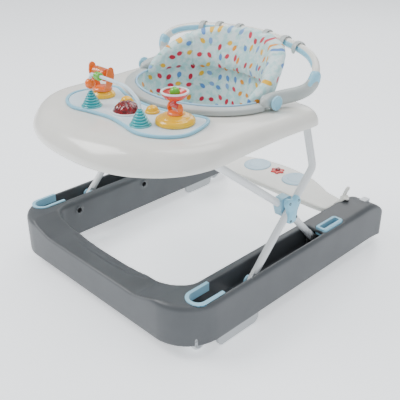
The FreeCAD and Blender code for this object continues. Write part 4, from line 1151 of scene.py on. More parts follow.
@dataclass
class SoftSeat:
    """Fabric seat: sewn sling bowl with leg holes, and a wadded wrap-round back."""

    seat_y: float = 30.0
    rim_half_x: float = 166.0
    rim_half_y: float = 128.0
    rim_z: float = 419.5
    depth: float = 179.0
    leg_x: float = 62.0
    leg_z: float = 302.0
    leg_radius: float = 44.0
    wall_drop: float = 134.0
    floor_inset: float = 45.0
    back_low: float = 412.0
    back_high: float = 521.0
    back_half_x: float = 155.0
    back_half_y: float = 116.0
    back_flare: float = 48.0
    back_reach_deg: float = 104.0
    back_thickness: float = 26.0
    seam_deg: float = 56.0
    pivot: tuple[float, float, float] = (0.0, 35.0, 422.0)
    plump: ClothPlump = field(default_factory=ClothPlump)

    def bowl_point(self, angle: float, share: float) -> Vector:
        """Point on the sling at an angle round it and a share of the way down."""
        narrow, back = table_value([(0.0, 0.0, 0.0), (0.12, 3.0, 0.8), (0.25, 8.0, 2.0), (0.38, 13.0, 3.5),
                                    (0.5, 20.0, 5.0), (0.63, 31.0, 7.2), (0.75, 45.0, 9.0), (0.85, 62.0, 11.0),
                                    (0.93, 82.0, 12.5), (0.98, 112.0, 14.0), (1.0, 160.0, 15.0)], share)
        half_x = max(self.rim_half_x - narrow, 3.0)
        half_y = max(self.rim_half_y - narrow * 0.8, 1.0)
        pucker = 1.6 * math.sin(22.0 * angle) * share * (1.0 - share) * 4.0 * (0.4 + 0.6 * math.sin(3.0 * angle) ** 2)
        half_x += pucker
        half_y += pucker
        return place(half_x * math.cos(angle), self.seat_y + back + half_y * math.sin(angle),
                     self.rim_z - self.depth * share)

    def build_bowl(self) -> Piece:
        """Sling bowl with its two leg holes cut and turned round."""
        shares = [index / 36.0 for index in range(37)]
        rings = []
        for share in shares:
            rings.append([self.bowl_point(2.0 * math.pi * step / 144.0, share) for step in range(144)])
        bowl = loft("seat_bowl", rings, capped=False)
        shape = bmesh.new()
        shape.from_mesh(bowl.data)
        gone = [face for face in shape.faces if self.in_leg_hole(face.calc_center_median(), 1.0)]
        bmesh.ops.delete(shape, geom=gone, context="FACES")
        for vertex in shape.verts:
            if vertex.is_boundary and self.in_leg_hole(vertex.co, 1.35):
                self.snap_to_hole(vertex)
        for face in shape.faces:
            face.smooth = True
        shape.to_mesh(bowl.data)
        shape.free()
        return bowl

    def in_leg_hole(self, point: Vector, size: float) -> bool:
        """Whether a point lies in front and inside a leg hole's circle."""
        across = (abs(point.x) / MM - self.leg_x) / self.leg_radius
        up = (point.z / MM - self.leg_z) / self.leg_radius
        return point.y / MM < self.seat_y and math.hypot(across, up) < size

    def snap_to_hole(self, vertex: bmesh.types.BMVert) -> None:
        """Move an edge vertex onto the leg hole's circle."""
        centre = Vector((math.copysign(self.leg_x, vertex.co.x), 0.0, self.leg_z)) * MM
        away = Vector((vertex.co.x - centre.x, 0.0, vertex.co.z - centre.z)).normalized() * (self.leg_radius * MM)
        vertex.co.x, vertex.co.z = centre.x + away.x, centre.z + away.z

    def leg_binding(self) -> Piece:
        """White binding round the leg holes."""
        points = []
        for step in range(40):
            angle = 2.0 * math.pi * step / 40.0
            x = self.leg_x + self.leg_radius * math.cos(angle)
            z = self.leg_z + self.leg_radius * math.sin(angle)
            share = (self.rim_z - z) / self.depth
            around = self.wall_angle(x, share)
            found = self.bowl_point(around, share)
            points.append(Vector((x * MM, found.y, z * MM)))
        return both_sides(sweep("leg_hole_binding", points, rounded_section(6.0, 5.0, 2.2, 12), closed=True,
                                up=Vector((0, -1, 0))))

    def wall_angle(self, x: float, share: float) -> float:
        """Angle on the sling's front wall where it has this X."""
        low, high = -math.pi / 2.0, 0.0
        for _ in range(30):
            middle = (low + high) / 2.0
            if self.bowl_point(middle, share).x / MM < x:
                low = middle
            else:
                high = middle
        return (low + high) / 2.0

    def back_top(self, degrees: float) -> float:
        """Height of the back's upper edge at an angle from the rear middle."""
        share = min(abs(degrees) / self.back_reach_deg, 1.0)
        fall = table_value([(0.0, 1.0), (0.2, 0.985), (0.4, 0.92), (0.55, 0.8), (0.7, 0.6), (0.85, 0.36),
                            (0.95, 0.2), (1.0, 0.12)], share)[0]
        return self.back_low + (self.back_high - self.back_low) * fall

    def back_point(self, degrees: float, share: float, out: float) -> Vector:
        """Point of the wadded back.

        Args:
            degrees: Angle from the rear middle.
            share: Share of the height.
            out: Distance outwards from the middle of its thickness.

        Returns:
            The point in metres.
        """
        z = blend_value(self.back_low, self.back_top(degrees), share)
        rise = (z - self.back_low) / (self.back_high - self.back_low)
        angle = math.radians(degrees)
        half_x = self.back_half_x + out + 14.0 * rise
        half_y = self.back_half_y + out + self.back_flare * rise
        return place(half_x * math.sin(angle), self.seat_y + 6.0 * rise + half_y * math.cos(angle), z)

    def build_back(self) -> Piece:
        """Closed pad: thick in its middle, thin at its sewn edges."""
        columns, rows = 72, 20
        rings = []
        for column in range(columns + 1):
            degrees = blend_value(-self.back_reach_deg, self.back_reach_deg, column / columns)
            side_share = abs(2.0 * column / columns - 1.0)
            side_full = (1.0 - side_share ** 8) ** 0.5
            ring = []
            for row in list(range(rows + 1)) + list(range(rows - 1, 0, -1)):
                inside = len(ring) <= rows
                share = row / rows
                full = max((1.0 - abs(2.0 * share - 1.0) ** 6) ** 0.5, 0.22) * max(side_full, 0.3)
                half = self.back_thickness * full / 2.0
                ring.append(self.back_point(degrees, share, -half if inside else half))
            rings.append(ring)
        pad = loft("back_cushion", rings)
        self.plump.run(pad)
        self.sew(pad)
        return pad

    def sew(self, pad: Piece) -> None:
        """Draw the cover in along its upright seams and pucker it beside them."""
        normals = [vertex.normal.copy() for vertex in pad.data.vertices]
        for vertex, normal in zip(pad.data.vertices, normals):
            across = vertex.co.x / MM
            depth = vertex.co.y / MM - self.seat_y
            degrees = abs(math.degrees(math.atan2(across, depth)))
            gap = (degrees - self.seam_deg) / 180.0 * math.pi * self.back_half_x
            near = math.exp(-(gap / 3.4) ** 2)
            wide = math.exp(-(gap / 16.0) ** 2)
            pucker = 0.5 * math.sin(vertex.co.z / MM * 2.0 * math.pi / 17.0) * wide
            vertex.co -= normal * ((3.2 * near + pucker) * MM)

    def dress(self) -> None:
        """Build the soft pieces: the bowl is baked in place, its binding rides on the tray and the back on the back
        rest.
        """
        bend = (Body.TRAY, Body.BACK, place(0.0, 95.0, 372.0), place(0.0, 140.0, 410.0))
        bowl = self.build_bowl()
        fit(bowl, Body.TRAY, "printed_fabric", ("seat_sling",), bend=bend)
        binding = fit(self.leg_binding(), Body.TRAY, "printed_fabric", finish=WHITE_BINDING)
        back = fit(self.build_back(), Body.BACK, "printed_fabric", ("back_pad",))


# ---------------------------------------------------------------- back rest


@dataclass
class BackRest:
    """White hoop with an aqua insert, grey side arms, push knobs."""

    pivot: tuple[float, float, float] = (186.0, 35.0, 422.0)
    tube_wide: float = 17.0
    tube_tall: float = 21.0
    arm_half_span: float = 12.0
    knob_radius: float = 15.0

    def hoop_half(self) -> list[Vector]:
        """Right half of the hoop, from its foot to the rear middle."""
        return [place(219.0, 114.0, 434.0), place(228.0, 120.0, 450.0), place(227.0, 130.0, 468.0),
                place(210.0, 147.0, 483.0), place(178.0, 166.0, 492.0), place(130.0, 182.0, 498.0),
                place(70.0, 193.0, 502.0), place(0.0, 197.0, 504.0)]

    def build_hoop(self) -> Piece:
        """Smooth flattened tube through the hoop's points."""
        right = self.hoop_half()
        left = [Vector((-point.x, point.y, point.z)) for point in right[-2::-1]]
        path = curve_through(right + left, 120)
        section = rounded_section(self.tube_wide, self.tube_tall, 2.4, 20)
        return subdivide(sweep("back_hoop_tube", path, section))

    def build_insert(self) -> Piece:
        """Soft aqua strip let into the inner side of the hoop."""
        path = curve_through(self.hoop_half(), 90)[18:62]
        moved = []
        for before, point, after in zip(path, path[1:], path[2:]):
            side = (after - before).normalized().cross(Vector((0, 0, 1))).normalized()
            inward = side if side.dot(Vector((-point.x, -point.y, 0.0))) > 0 else -side
            moved.append(point + inward * (self.tube_wide * 0.42 * MM))
        strip = sweep("hoop_grip_strip", moved, rounded_section(5.0, 12.0, 2.6, 14))
        return both_sides(strip)

    def build_hooks(self) -> Piece:
        """Curled grey clips that hold the cover to the hoop."""
        path = curve_through(self.hoop_half(), 90)
        clips = []
        for index in (44, 58, 76):
            along = (path[index + 1] - path[index - 1]).normalized()
            out = along.cross(Vector((0.0, 0.0, 1.0))).normalized()
            points = []
            for step in range(16):
                angle = math.radians(-50.0 + 250.0 * step / 15.0)
                reach = (self.tube_tall / 2.0 + 2.6 + 3.0 * (step / 15.0) ** 4) * MM
                points.append(path[index] + (out * math.cos(angle) + Vector((0, 0, 1)) * math.sin(angle)) * reach)
            clips.append(sweep("clip", points, rounded_section(3.0, 13.0, 3.0, 14), up=along))
        return both_sides(merge("cover_clips", clips))

    def build_arms(self) -> Piece:
        """Side arms: round at the pivot, running back and curling up to the hoop's foot."""
        x, y, z = self.pivot
        route = [place(x, y - 13.0, z - 1.0), place(x, y, z), place(x + 2.0, y + 22.0, z + 0.5),
                 place(x + 10.0, y + 48.0, z + 2.0), place(x + 22.0, y + 68.0, z + 6.0),
                 place(x + 34.0, y + 80.0, z + 15.0), place(x + 43.0, y + 84.0, z + 28.0)]
        path = curve_through(route, 60)
        size = [(0.0, 0.84, 0.74), (0.12, 1.0, 1.0), (0.5, 1.04, 0.98), (0.75, 1.0, 0.92), (1.0, 0.86, 0.84)]
        arm = sweep("arm_cover_right", path, rounded_section(24.0, 31.0, 2.7, 24),
                    scale=lambda share: table_value(size, share), up=Vector((-0.35, -0.2, 1.0)))
        arm.name = "arm_cover_shells"
        return both_sides(subdivide(arm))

    def build_cuffs(self) -> Piece:
        """Aqua cuffs where the hoop leaves its arms."""
        path = curve_through(self.hoop_half(), 90)[5:12]
        cuff = sweep("hoop_cuffs", path, rounded_section(self.tube_wide + 5.0, self.tube_tall + 4.0, 2.6, 20))
        return both_sides(cuff)

    def knob_profile(self) -> Plan:
        """Half-section of a push knob from its stem to its dished face."""
        rim = self.knob_radius
        return [(0.0, -8.0), (8.6, -8.0), (8.6, -3.2), (rim - 0.6, -3.0), (rim, -2.2), (rim, 0.6), (rim - 0.6, 2.0),
                (rim - 2.2, 2.9), (rim - 4.0, 2.7), (rim - 5.4, 1.6), (6.0, 1.1), (0.0, 1.0)]

    def build_knob(self, side: Side) -> Piece:
        """Push knob outside one arm."""
        low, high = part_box("lock_knob_" + side.name.lower())
        outer = high.x if side is Side.RIGHT else low.x
        centre = Vector((outer - side * 2.9 * MM, (low.y + high.y) / 2.0, (low.z + high.z) / 2.0))
        return lathe("push_knob_" + side.name.lower(), self.knob_profile(), centre, Vector((side, 0, 0)))

    def dress(self) -> None:
        """Build the hoop, its trim, the arms and the knobs."""
        fit(self.build_hoop(), Body.BACK, "ivory_gloss_plastic", ("back_hoop",))
        fit(self.build_insert(), Body.BACK, "aqua_plastic")
        fit(self.build_arms(), Body.BACK, "pale_grey_plastic", ("arm_covers",))
        fit(self.build_cuffs(), Body.BACK, "aqua_plastic")
        fit(self.build_hooks(), Body.BACK, "pale_grey_plastic", ("cover_hooks",))
        for side in Side:
            name = side.name.lower()
            ride_named(self.build_knob(side), "knob_" + name, "aqua_plastic", ("lock_knob_" + name,))


# ---------------------------------------------------------------- play panel and toys


@dataclass
class PlayPanel:
    """Kidney-shaped panel on the tray with an aqua rim, keys and toys."""

    low: float = 404.2
    thickness: float = 4.0
    half_width: float = 178.0
    rim_width: float = 7.0

    def plan(self, inset: float, count: int = 150) -> Plan:
        """Smooth outline wrapped round the front of the seat ring."""
        half = self.half_width
        right: Plan = [(0.0, -232.0), (50.0, -239.0), (105.0, -248.0), (half - 22.0, -224.0), (half, -176.0),
                       (148.0, -98.0), (75.0, -118.0), (0.0, -128.0)]
        left = [(-x, y) for x, y in right[-2:0:-1]]
        return inset_plan(smooth_plan(right + left, count), inset)

    def dress_panel(self) -> None:
        """Aqua rim and the pale panel inside it."""
        middle = self.low + 3.1
        path = [place(x, y, middle) for x, y in self.plan(self.rim_width / 2.0)]
        rim = sweep("panel_rim_band", path, rounded_section(self.rim_width, 6.4, 2.8, 16), closed=True)
        fit(subdivide(rim), Body.TRAY, "aqua_plastic", ("panel_rim",))
        board = plate("play_panel_top", self.plan(self.rim_width + 0.1), self.low - 0.1, self.low + self.thickness,
                      1.0)
        self.add_relief(board)
        fit(board, Body.TRAY, "panel_plastic", ("play_panel",))

    def add_relief(self, board: Piece) -> None:
        """Smooth the panel's mesh once."""
        subdivide(board)

    def dress(self) -> None:
        """Build the panel."""
        self.dress_panel()


@dataclass
class Keys:
    """Clear red berry-shaped key in a white bezel, and two yellow domed keys."""

    panel_top: float = 408.2
    dome_radius: float = 28.0
    button_radius: float = 15.0

    def berry_profile(self) -> Plan:
        """Half-section of the large key."""
        rim = self.dome_radius
        return [(rim - 0.5, -0.6), (rim, 0.2), (rim, 2.6), (rim - 1.4, 3.8), (rim - 2.6, 6.0), (rim - 5.0, 10.0),
                (rim - 9.0, 14.4), (rim - 14.0, 17.6), (rim - 20.0, 19.6), (4.0, 20.2), (0.0, 20.2)]

    def build_berry(self) -> Piece:
        """Faceted dome: its skin is drawn out into small bosses."""
        centre = node_middle("dome_button")
        piece = lathe("berry_key", self.berry_profile(), place(centre.x, centre.y, self.panel_top), segments=72)
        subdivide(piece)
        random.seed(11)
        bosses = []
        for ring, count in ((0.0, 1), (9.0, 6), (16.5, 11), (22.5, 15)):
            for index in range(count):
                angle = 2.0 * math.pi * (index + 0.5 * (ring > 10.0)) / count
                bosses.append((centre.x + ring * math.cos(angle), centre.y + ring * math.sin(angle)))
        for vertex in piece.data.vertices:
            if vertex.co.z / MM > self.panel_top + 4.0:
                near = min(math.hypot(vertex.co.x / MM - x, vertex.co.y / MM - y) for x, y in bosses)
                vertex.co += vertex.normal * (1.5 * math.exp(-(near / 2.6) ** 2) * MM)
        return piece

    def build_bezel(self) -> Piece:
        """White bezel round the large key."""
        centre = node_middle("dome_bezel")
        path = []
        for x, y in oval_plan((centre.x, centre.y), self.dome_radius + 2.2, self.dome_radius + 2.2, 72):
            path.append(place(x, y, self.panel_top + 1.4))
        return sweep("berry_key_bezel", path, rounded_section(4.4, 4.0, 2.4, 14), closed=True)

    def build_button(self, side: Side) -> Piece:
        """Yellow domed key with a stepped collar."""
        centre = node_middle("play_button_" + side.name.lower())
        rim = self.button_radius
        profile = [(rim - 0.6, -0.6), (rim, 0.2), (rim, 3.4), (rim - 0.8, 4.4), (rim - 2.0, 4.8), (rim - 2.4, 5.6),
                   (rim - 3.2, 8.4), (rim - 5.4, 11.4), (rim - 8.4, 13.4), (3.0, 14.4), (0.0, 14.5)]
        base = place(centre.x, centre.y, self.panel_top)
        return subdivide(lathe("domed_key_" + side.name.lower(), profile, base))

    def dress(self) -> None:
        """Build the keys on their own bodies."""
        ride_named(self.build_berry(), "dome", "red_clear_plastic", ("dome_button",))
        fit(self.build_bezel(), Body.TRAY, "white_plastic", ("dome_bezel",))
        for side in Side:
            name = side.name.lower()
            ride_named(self.build_button(side), "button_" + name, "yellow_plastic", ("play_button_" + name,))


@dataclass
class ToyArch:
    """Thin arch on two ribbed cones, with a sliding bead and a ball."""

    panel_top: float = 408.2
    half_span: float = 77.0
    y: float = -214.0
    height: float = 68.0
    spring_height: float = 32.0
    tube_radius: float = 3.5
    ribs: int = 6

    def build_cones(self) -> Piece:
        """Ribbed cones that carry the arch."""
        profile: Plan = [(0.0, 0.0), (21.5, 0.0), (21.8, 1.2), (20.6, 2.2)]
        for rib in range(self.ribs):
            low = 2.4 + (self.spring_height - 2.4) * rib / self.ribs
            pitch = (self.spring_height - 2.4) / self.ribs
            radius = 19.0 - 13.0 * rib / (self.ribs - 1)
            for angle in range(0, 181, 30):
                turn = math.radians(angle)
                profile.append((radius - 2.6 + 2.6 * math.sin(turn), low + pitch * (0.4 - 0.38 * math.cos(turn))))
            profile.append((radius - 3.6, low + pitch * 0.92))
        profile.append((3.6, self.spring_height + 0.4))
        profile.append((0.0, self.spring_height + 0.6))
        cone = lathe("ribbed_cones", profile, place(self.half_span, self.y, self.panel_top), segments=40)
        return both_sides(cone)

    def build_arch(self) -> Piece:
        """Bent tube of the arch."""
        low = self.panel_top + self.spring_height + 1.8
        high = self.panel_top + self.height
        span = self.half_span
        route = [place(-span, self.y, low), place(-span, self.y, high - 16.0), place(-span + 4.5, self.y, high - 4.5),
                 place(-span + 16.0, self.y, high), place(20.0, self.y, high), place(44.0, self.y, high - 4.0),
                 place(span - 12.0, self.y, high - 15.0), place(span - 2.0, self.y, high - 24.0),
                 place(span, self.y, high - 34.0), place(span, self.y, low)]
        path = curve_through(route, 90)
        return sweep("arch_tube", path, rounded_section(7.0, 7.0, 2.0, 18), up=Vector((0, 1, 0)))

    def build_bead(self) -> Piece:
        """Soft-edged green block that slides on the arch."""
        centre = node_middle("arch_bead")
        profile = [(3.7, -8.0), (6.0, -8.0), (7.6, -7.0), (8.4, -5.0), (8.4, -1.2), (7.7, 0.0), (8.4, 1.2), (8.4, 5.0),
                   (7.6, 7.0), (6.0, 8.0), (3.7, 8.0)]
        return lathe("arch_slider", profile, centre * MM, Vector((1, 0, 0)), 40)

    def build_ball(self) -> Piece:
        """Orange ball with a moulded waist on the arch's upright."""
        centre = node_middle("arch_ball")
        profile = [(3.7, -10.6), (6.0, -9.4), (8.8, -6.8), (10.6, -3.4), (11.0, -1.0), (10.4, 0.0), (11.0, 1.0),
                   (10.6, 3.4), (8.8, 6.8), (6.0, 9.4), (3.7, 10.6)]
        return subdivide(lathe("arch_roller", profile, centre * MM, segments=36))

    def dress(self) -> None:
        """Build the arch's pieces on their bodies."""
        fit(self.build_cones(), Body.TRAY, "teal_plastic", ("arch_springs",))
        ride_named(self.build_arch(), "arch", "panel_plastic", ("toy_arch",))
        ride_named(self.build_bead(), "bead", "green_plastic", ("arch_bead",))
        ride_named(self.build_ball(), "ball", "orange_plastic", ("arch_ball",))


@dataclass
class SideToys:
    """Drum in a flared fork on the left, tilting bowl on the right."""

    panel_top: float = 408.2
    left_x: float = -114.0
    right_x: float = 114.0
    y: float = -158.0
    left_height: float = 14.0
    right_height: float = 17.0

    def build_bases(self) -> Piece:
        """Yellow pucks: a stepped one on the left, a broad one on the right."""
        left = [(0.0, 0.0), (27.6, 0.0), (28.0, 1.0), (27.4, 5.0), (24.0, 8.4), (22.6, 9.0), (22.0, 10.4), (19.0, 12.8),
                (14.0, 14.2), (0.0, 14.4)]
        right = [(0.0, 0.0), (39.4, 0.0), (40.0, 1.2), (39.6, 5.4), (37.0, 9.6), (33.0, 12.0), (30.6, 12.2),
                 (29.6, 13.4), (26.0, 15.8), (20.0, 17.0), (0.0, 17.2)]
        pieces = [subdivide(lathe("left_puck", left, place(self.left_x, self.y, self.panel_top), segments=40)),
                  subdivide(lathe("right_puck", right, place(self.right_x, self.y, self.panel_top), segments=40))]
        return merge("toy_pucks", pieces)

    def prong(self, name: str, foot: Vector, tip: Vector, lean: float, wide: float) -> Piece:
        """One prong of a fork, bowed outwards and broad at its tip."""
        middle = (foot + tip) / 2.0 + Vector((lean * MM, 0.0, -2.0 * MM))
        path = curve_through([foot, middle, tip], 22)
        size = [(0.0, 1.25, 0.9), (0.4, 0.8, 0.85), (0.8, 1.15, 1.0), (1.0, 1.0, 0.8)]
        return sweep(name, path, rounded_section(5.0, wide, 2.6, 16), up=Vector((0.0, 1.0, 0.02)),
                     scale=lambda share: table_value(size, share))

    def build_fork(self, name: str, node: str, x: float, foot_gap: float, tip_gap: float, wide: float) -> Piece:
        """Fork with two prongs and a foot; the cross pin is built by build_pin.

        Args:
            name: Piece name.
            node: Frame node that it stands for.
            x: Its middle.
            foot_gap: Half distance between the prongs at the foot.
            tip_gap: Half distance between the prongs at the tips.
            wide: Width of the prongs front to rear.

        Returns:
            The fork.
        """
        low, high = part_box(node)
        base, top = low.z / MM, high.z / MM
        parts = []
        for side in Side:
            foot = place(x + side * foot_gap, self.y, base + 2.0)
            tip = place(x + side * tip_gap, self.y, top - 3.0)
            parts.append(self.prong("prong", foot, tip, side * 3.0, wide))
        collar = [(0.0, 0.0), (foot_gap + 4.0, 0.0), (foot_gap + 4.6, 2.0), (foot_gap + 3.0, 5.0),
                  (foot_gap - 1.0, 6.6), (0.0, 6.8)]
        parts.append(lathe("collar", collar, place(x, self.y, base)))
        return merge(name, parts)

    def build_pin(self, name: str, x: float, z: float, half: float) -> Piece:
        """Cross pin of a fork."""
        profile = [(0.0, -half), (1.6, -half), (2.0, -half + 0.5), (2.0, half - 0.5), (1.6, half), (0.0, half)]
        return lathe(name, profile, place(x, self.y, z), Vector((1, 0, 0)), 20)

    def build_drum(self) -> Piece:
        """Fluted drum with white end caps' seats."""
        centre = node_middle("spin_drum")
        low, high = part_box("spin_drum")
        half = (high.x - low.x) / (2.0 * MM)
        radius = (high.z - low.z) / (2.0 * MM)
        profile: Plan = [(2.2, -half), (radius - 3.0, -half), (radius - 0.6, -half + 1.4)]
        for step in range(25):
            share = step / 24.0
            flute = 0.5 * math.cos(share * 2.0 * math.pi * 6.0)
            profile.append((radius - 0.8 + flute, blend_value(-half + 2.4, half - 2.4, share)))
        profile += [(radius - 0.6, half - 1.4), (radius - 3.0, half), (2.2, half)]
        return lathe("rolling_drum", profile, centre * MM, Vector((1, 0, 0)), 48)

    def build_bowl(self) -> Piece:
        """Coral bowl on its stem and hub."""
        low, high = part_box("spin_bowl")
        base = place(self.right_x, self.y, 0.0) + Vector((0, 0, high.z - 17.0 * MM))
        profile = [(0.0, -6.0), (3.0, -6.0), (3.4, -1.0), (9.0, -0.4), (14.0, 0.6), (20.0, 4.4), (24.6, 9.6),
                   (26.0, 13.0), (26.4, 15.6), (25.6, 17.0), (24.0, 17.2), (22.8, 15.4), (20.0, 12.0), (14.0, 7.8),
                   (8.0, 6.0), (0.0, 5.6)]
        bowl = subdivide(lathe("bowl_cup", profile, base, segments=40))
        hub_z = low.z / MM + 5.0
        hub_profile = [(2.2, -10.4), (4.6, -10.4), (5.0, -9.8), (5.0, 9.8), (4.6, 10.4), (2.2, 10.4)]
        hub = lathe("bowl_hub", hub_profile, place(self.right_x, self.y, hub_z), Vector((1, 0, 0)), 28)
        stem_top = (high.z / MM - 17.0) - hub_z
        stem_profile = [(0.0, 3.0), (2.6, 3.4), (2.4, stem_top * 0.5), (3.2, stem_top - 1.0), (0.0, stem_top + 1.0)]
        stem = lathe("bowl_stem", stem_profile, place(self.right_x, self.y, hub_z), segments=20)
        return merge("tilting_bowl", [bowl, hub, stem])

    def build_bowl_ring(self) -> Piece:
        """White ring round the bowl's mouth."""
        _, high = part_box("spin_bowl")
        path = []
        for x, y in oval_plan((self.right_x, self.y), 25.2, 25.2, 64):
            path.append(place(x, y, high.z / MM - 0.6))
        return sweep("bowl_mouth_ring", path, rounded_section(4.6, 3.6, 2.2, 12), closed=True)

    def dress(self) -> None:
        """Build both toys on their bodies."""
        fit(self.build_bases(), Body.TRAY, "yellow_plastic", ("toy_bases",))
        left = self.build_fork("flared_fork", "left_toy_fork", self.left_x, 17.0, 31.0, 22.0)
        drum_z = node_middle("spin_drum").z
        left = merge("drum_fork", [left, self.build_pin("left_pin", self.left_x, drum_z, 27.0)])
        fit(left, Body.TRAY, "orange_plastic", ("left_toy_fork",))
        low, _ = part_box("spin_bowl")
        right = self.build_fork("small_fork", "right_toy_fork", self.right_x, 11.0, 14.0, 13.0)
        right = merge("bowl_fork", [right, self.build_pin("right_pin", self.right_x, low.z / MM + 5.0, 13.0)])
        fit(right, Body.TRAY, "orange_plastic", ("right_toy_fork",))
        ride_named(self.build_drum(), "drum", "red_clear_plastic", ("spin_drum",), DRUM_ACRYLIC)
        ride_named(self.build_bowl(), "bowl", "coral_plastic", ("spin_bowl",))
        ride_named(self.build_bowl_ring(), "bowl", "white_plastic")
        middle = node_middle("bowl_ball")
        ride_named(ball("bowl_green_ball", middle * MM, 10.0), "bowl", "green_plastic", ("bowl_ball",))


# ---------------------------------------------------------------- frame covers, foot panel, wheels


@dataclass
class HubCovers:
    """Bow-tie covers over the crossing of the legs, with small dark screws."""

    outer_leg_x: float = 275.0
    height: float = 60.0
    depth: float = 46.0
    proud: float = 13.0

    def plan(self, grow: float) -> Plan:
        """Bow-tie outline about the hub: (rearwards, upwards)."""
        shape = [(0.55, 1.0), (0.0, 0.82), (-0.75, 1.0), (-1.0, 0.62), (-0.62, 0.0), (-0.7, -0.7), (-0.2, -1.0),
                 (0.5, -0.86), (0.62, -0.2), (1.0, 0.5)]
        corners = [(y * (self.depth / 2.0 + grow), z * (self.height / 2.0 + grow)) for y, z in shape]
        return smooth_plan(corners, 84)

    def build_cover(self) -> Piece:
        """Crowned cover with softened edges, laid flat on the outside of the outer leg."""
        centre = node_middle("hub_pins")
        low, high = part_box("hub_covers")
        outside = high.x / MM
        lay = Matrix(((0.0, 0.0, 1.0), (1.0, 0.0, 0.0), (0.0, 1.0, 0.0)))
        plan = [(y + centre.y, z + centre.z) for y, z in self.plan(0.0)]
        cover = plate("hub_bow_covers", plan, outside - self.proud, outside - 1.5, 4.0, 2.5, lay)
        return both_sides(subdivide(cover))

    def build_screws(self) -> Piece:
        """Dark recessed screws at the corners of each cover."""
        centre = node_middle("hub_pins")
        _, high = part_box("hub_covers")
        outside = high.x / MM - 1.3
        screws = []
        for y, z in ((-15.0, 21.0), (12.0, 20.0), (-9.0, -21.0), (9.0, -17.0)):
            profile = [(0.0, -2.0), (3.0, -2.0), (3.2, 0.4), (2.8, 0.9), (1.5, 0.9), (1.2, -0.4), (0.0, -0.4)]
            screws.append(lathe("screw", profile, place(outside, centre.y + y, centre.z + z), Vector((1, 0, 0)), 20))
        return both_sides(merge("hub_cover_screws", screws))

    def dress(self) -> None:
        """Build the covers on the outer legs."""
        fit(self.build_cover(), Body.OUTER, "aqua_plastic", ("hub_covers",))
        fit(self.build_screws(), Body.OUTER, "dark_plastic")


@dataclass
class FootPanel:
    """Rear panel with two pale blue pads and a flower key."""

    low: float = 99.0
    thickness: float = 12.0
    front: float = 228.0
    rear: float = 362.0
    inner: float = 222.0
    pad_x: float = 66.0
    pad_y: float = 311.0
    flower_radius: float = 20.0

    def plan(self) -> Plan:
        """Outline: straight front edge, bowed rear edge."""
        right: Plan = [(0.0, self.front), (60.0, self.front - 0.6), (120.0, self.front - 2.0),
                       (self.inner - 22.0, self.front - 0.5), (self.inner - 4.0, self.front + 8.0),
                       (self.inner - 1.8, 262.0), (self.inner - 2.4, 292.0), (self.inner - 16.0, 304.0),
                       (170.0, 312.0), (135.0, 330.0), (90.0, self.rear - 12.0), (45.0, self.rear - 3.0),
                       (0.0, self.rear)]
        left = [(-x, y) for x, y in right[-2:0:-1]]
        return smooth_plan(right + left, 180)

    def build_plate(self) -> Piece:
        """Panel with rounded edges, arms over the rails and fins."""
        top = self.low + self.thickness
        parts = [plate("panel_plate", self.plan(), self.low, top, 5.0)]
        section = rounded_section(34.0, 5.6, 4.0, 24)
        for side in Side:
            path = curve_through([place(side * (self.inner - 8.0), 282.0, top - 3.0),
                                  place(side * (self.inner + 0.5), 284.0, top + 6.5),
                                  place(side * (self.inner + 6.0), 290.0, top + 13.2),
                                  place(side * (self.inner + 15.0), 296.0, top + 13.4)], 24)
            parts.append(sweep("arm", path, section, up=Vector((-side * 0.3, 0, 1.0))))
            fin = curve_through([place(side * self.inner, 302.0, top + 14.0), place(side * self.inner, 310.0, top + 24.0),
                                 place(side * self.inner, 317.0, top + 27.0)], 14)
            parts.append(sweep("fin", fin, rounded_section(8.0, 10.0, 2.6, 16), up=Vector((0, -0.5, 1.0))))
        for part in parts:
            subdivide(part)
        return merge("foot_panel_shell", parts)

    def build_pad(self, side: Side) -> Piece:
        """Crowned oval pad with a shallow ring groove."""
        low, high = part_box("foot_pad_" + side.name.lower())
        half_y = (high.y - low.y) / (2.0 * MM)
        outline = oval_plan((side * self.pad_x, self.pad_y), 36.0, half_y - 0.4, 72)
        cut = self.flower_radius + 2.4
        shaped = []
        for x, y in outline:
            dx, dy = x, y - (self.pad_y + 6.0)
            gap = math.hypot(dx, dy)
            if gap < cut:
                x, y = dx / gap * cut, self.pad_y + 6.0 + dy / gap * cut
            shaped.append((x, y))
        pad = plate("foot_pad_top_" + side.name.lower(), shaped, low.z / MM, high.z / MM - 1.6, 3.4, 1.6)
        subdivide(pad, 2)
        for vertex in pad.data.vertices:
            if vertex.normal.z > 0.6:
                size = math.hypot((vertex.co.x / MM - side * self.pad_x) / 36.0,
                                  (vertex.co.y / MM - self.pad_y) / half_y)
                groove = math.exp(-((size - 0.62) / 0.035) ** 2)
                vertex.co.z -= 0.9 * groove * MM
        return pad

    def build_flower(self) -> Piece:
        """Six-petalled key."""
        low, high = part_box("flower_button")
        middle = node_middle("flower_button")
        plan = []
        for step in range(144):
            angle = 2.0 * math.pi * step / 144.0
            radius = self.flower_radius * (0.86 + 0.13 * math.cos(6.0 * angle))
            plan.append((middle.x + radius * math.cos(angle), middle.y + radius * math.sin(angle)))
        return subdivide(plate("flower_key", plan, low.z / MM, high.z / MM - 4.6, 2.6, 1.2))

    def build_heart(self) -> Piece:
        """Dark red centre of the flower key."""
        middle = node_middle("flower_button")
        _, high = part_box("flower_button")
        profile = [(7.4, -4.8), (7.8, -3.4), (7.0, -1.6), (4.6, -0.4), (2.0, 0.0), (0.0, 0.0)]
        return subdivide(lathe("flower_heart", profile, Vector((middle.x * MM, middle.y * MM, high.z)), segments=32))

    def dress(self) -> None:
        """Build the panel, pads and flower."""
        fit(self.build_plate(), Body.PANEL, "ivory_gloss_plastic", ("foot_panel",))
        for side in Side:
            name = side.name.lower()
            ride_named(self.build_pad(side), "pad_" + name, "pad_plastic", ("foot_pad_" + name,))
        ride_named(self.build_flower(), "flower", "coral_plastic", ("flower_button",))
        ride_named(self.build_heart(), "flower", "red_clear_plastic")


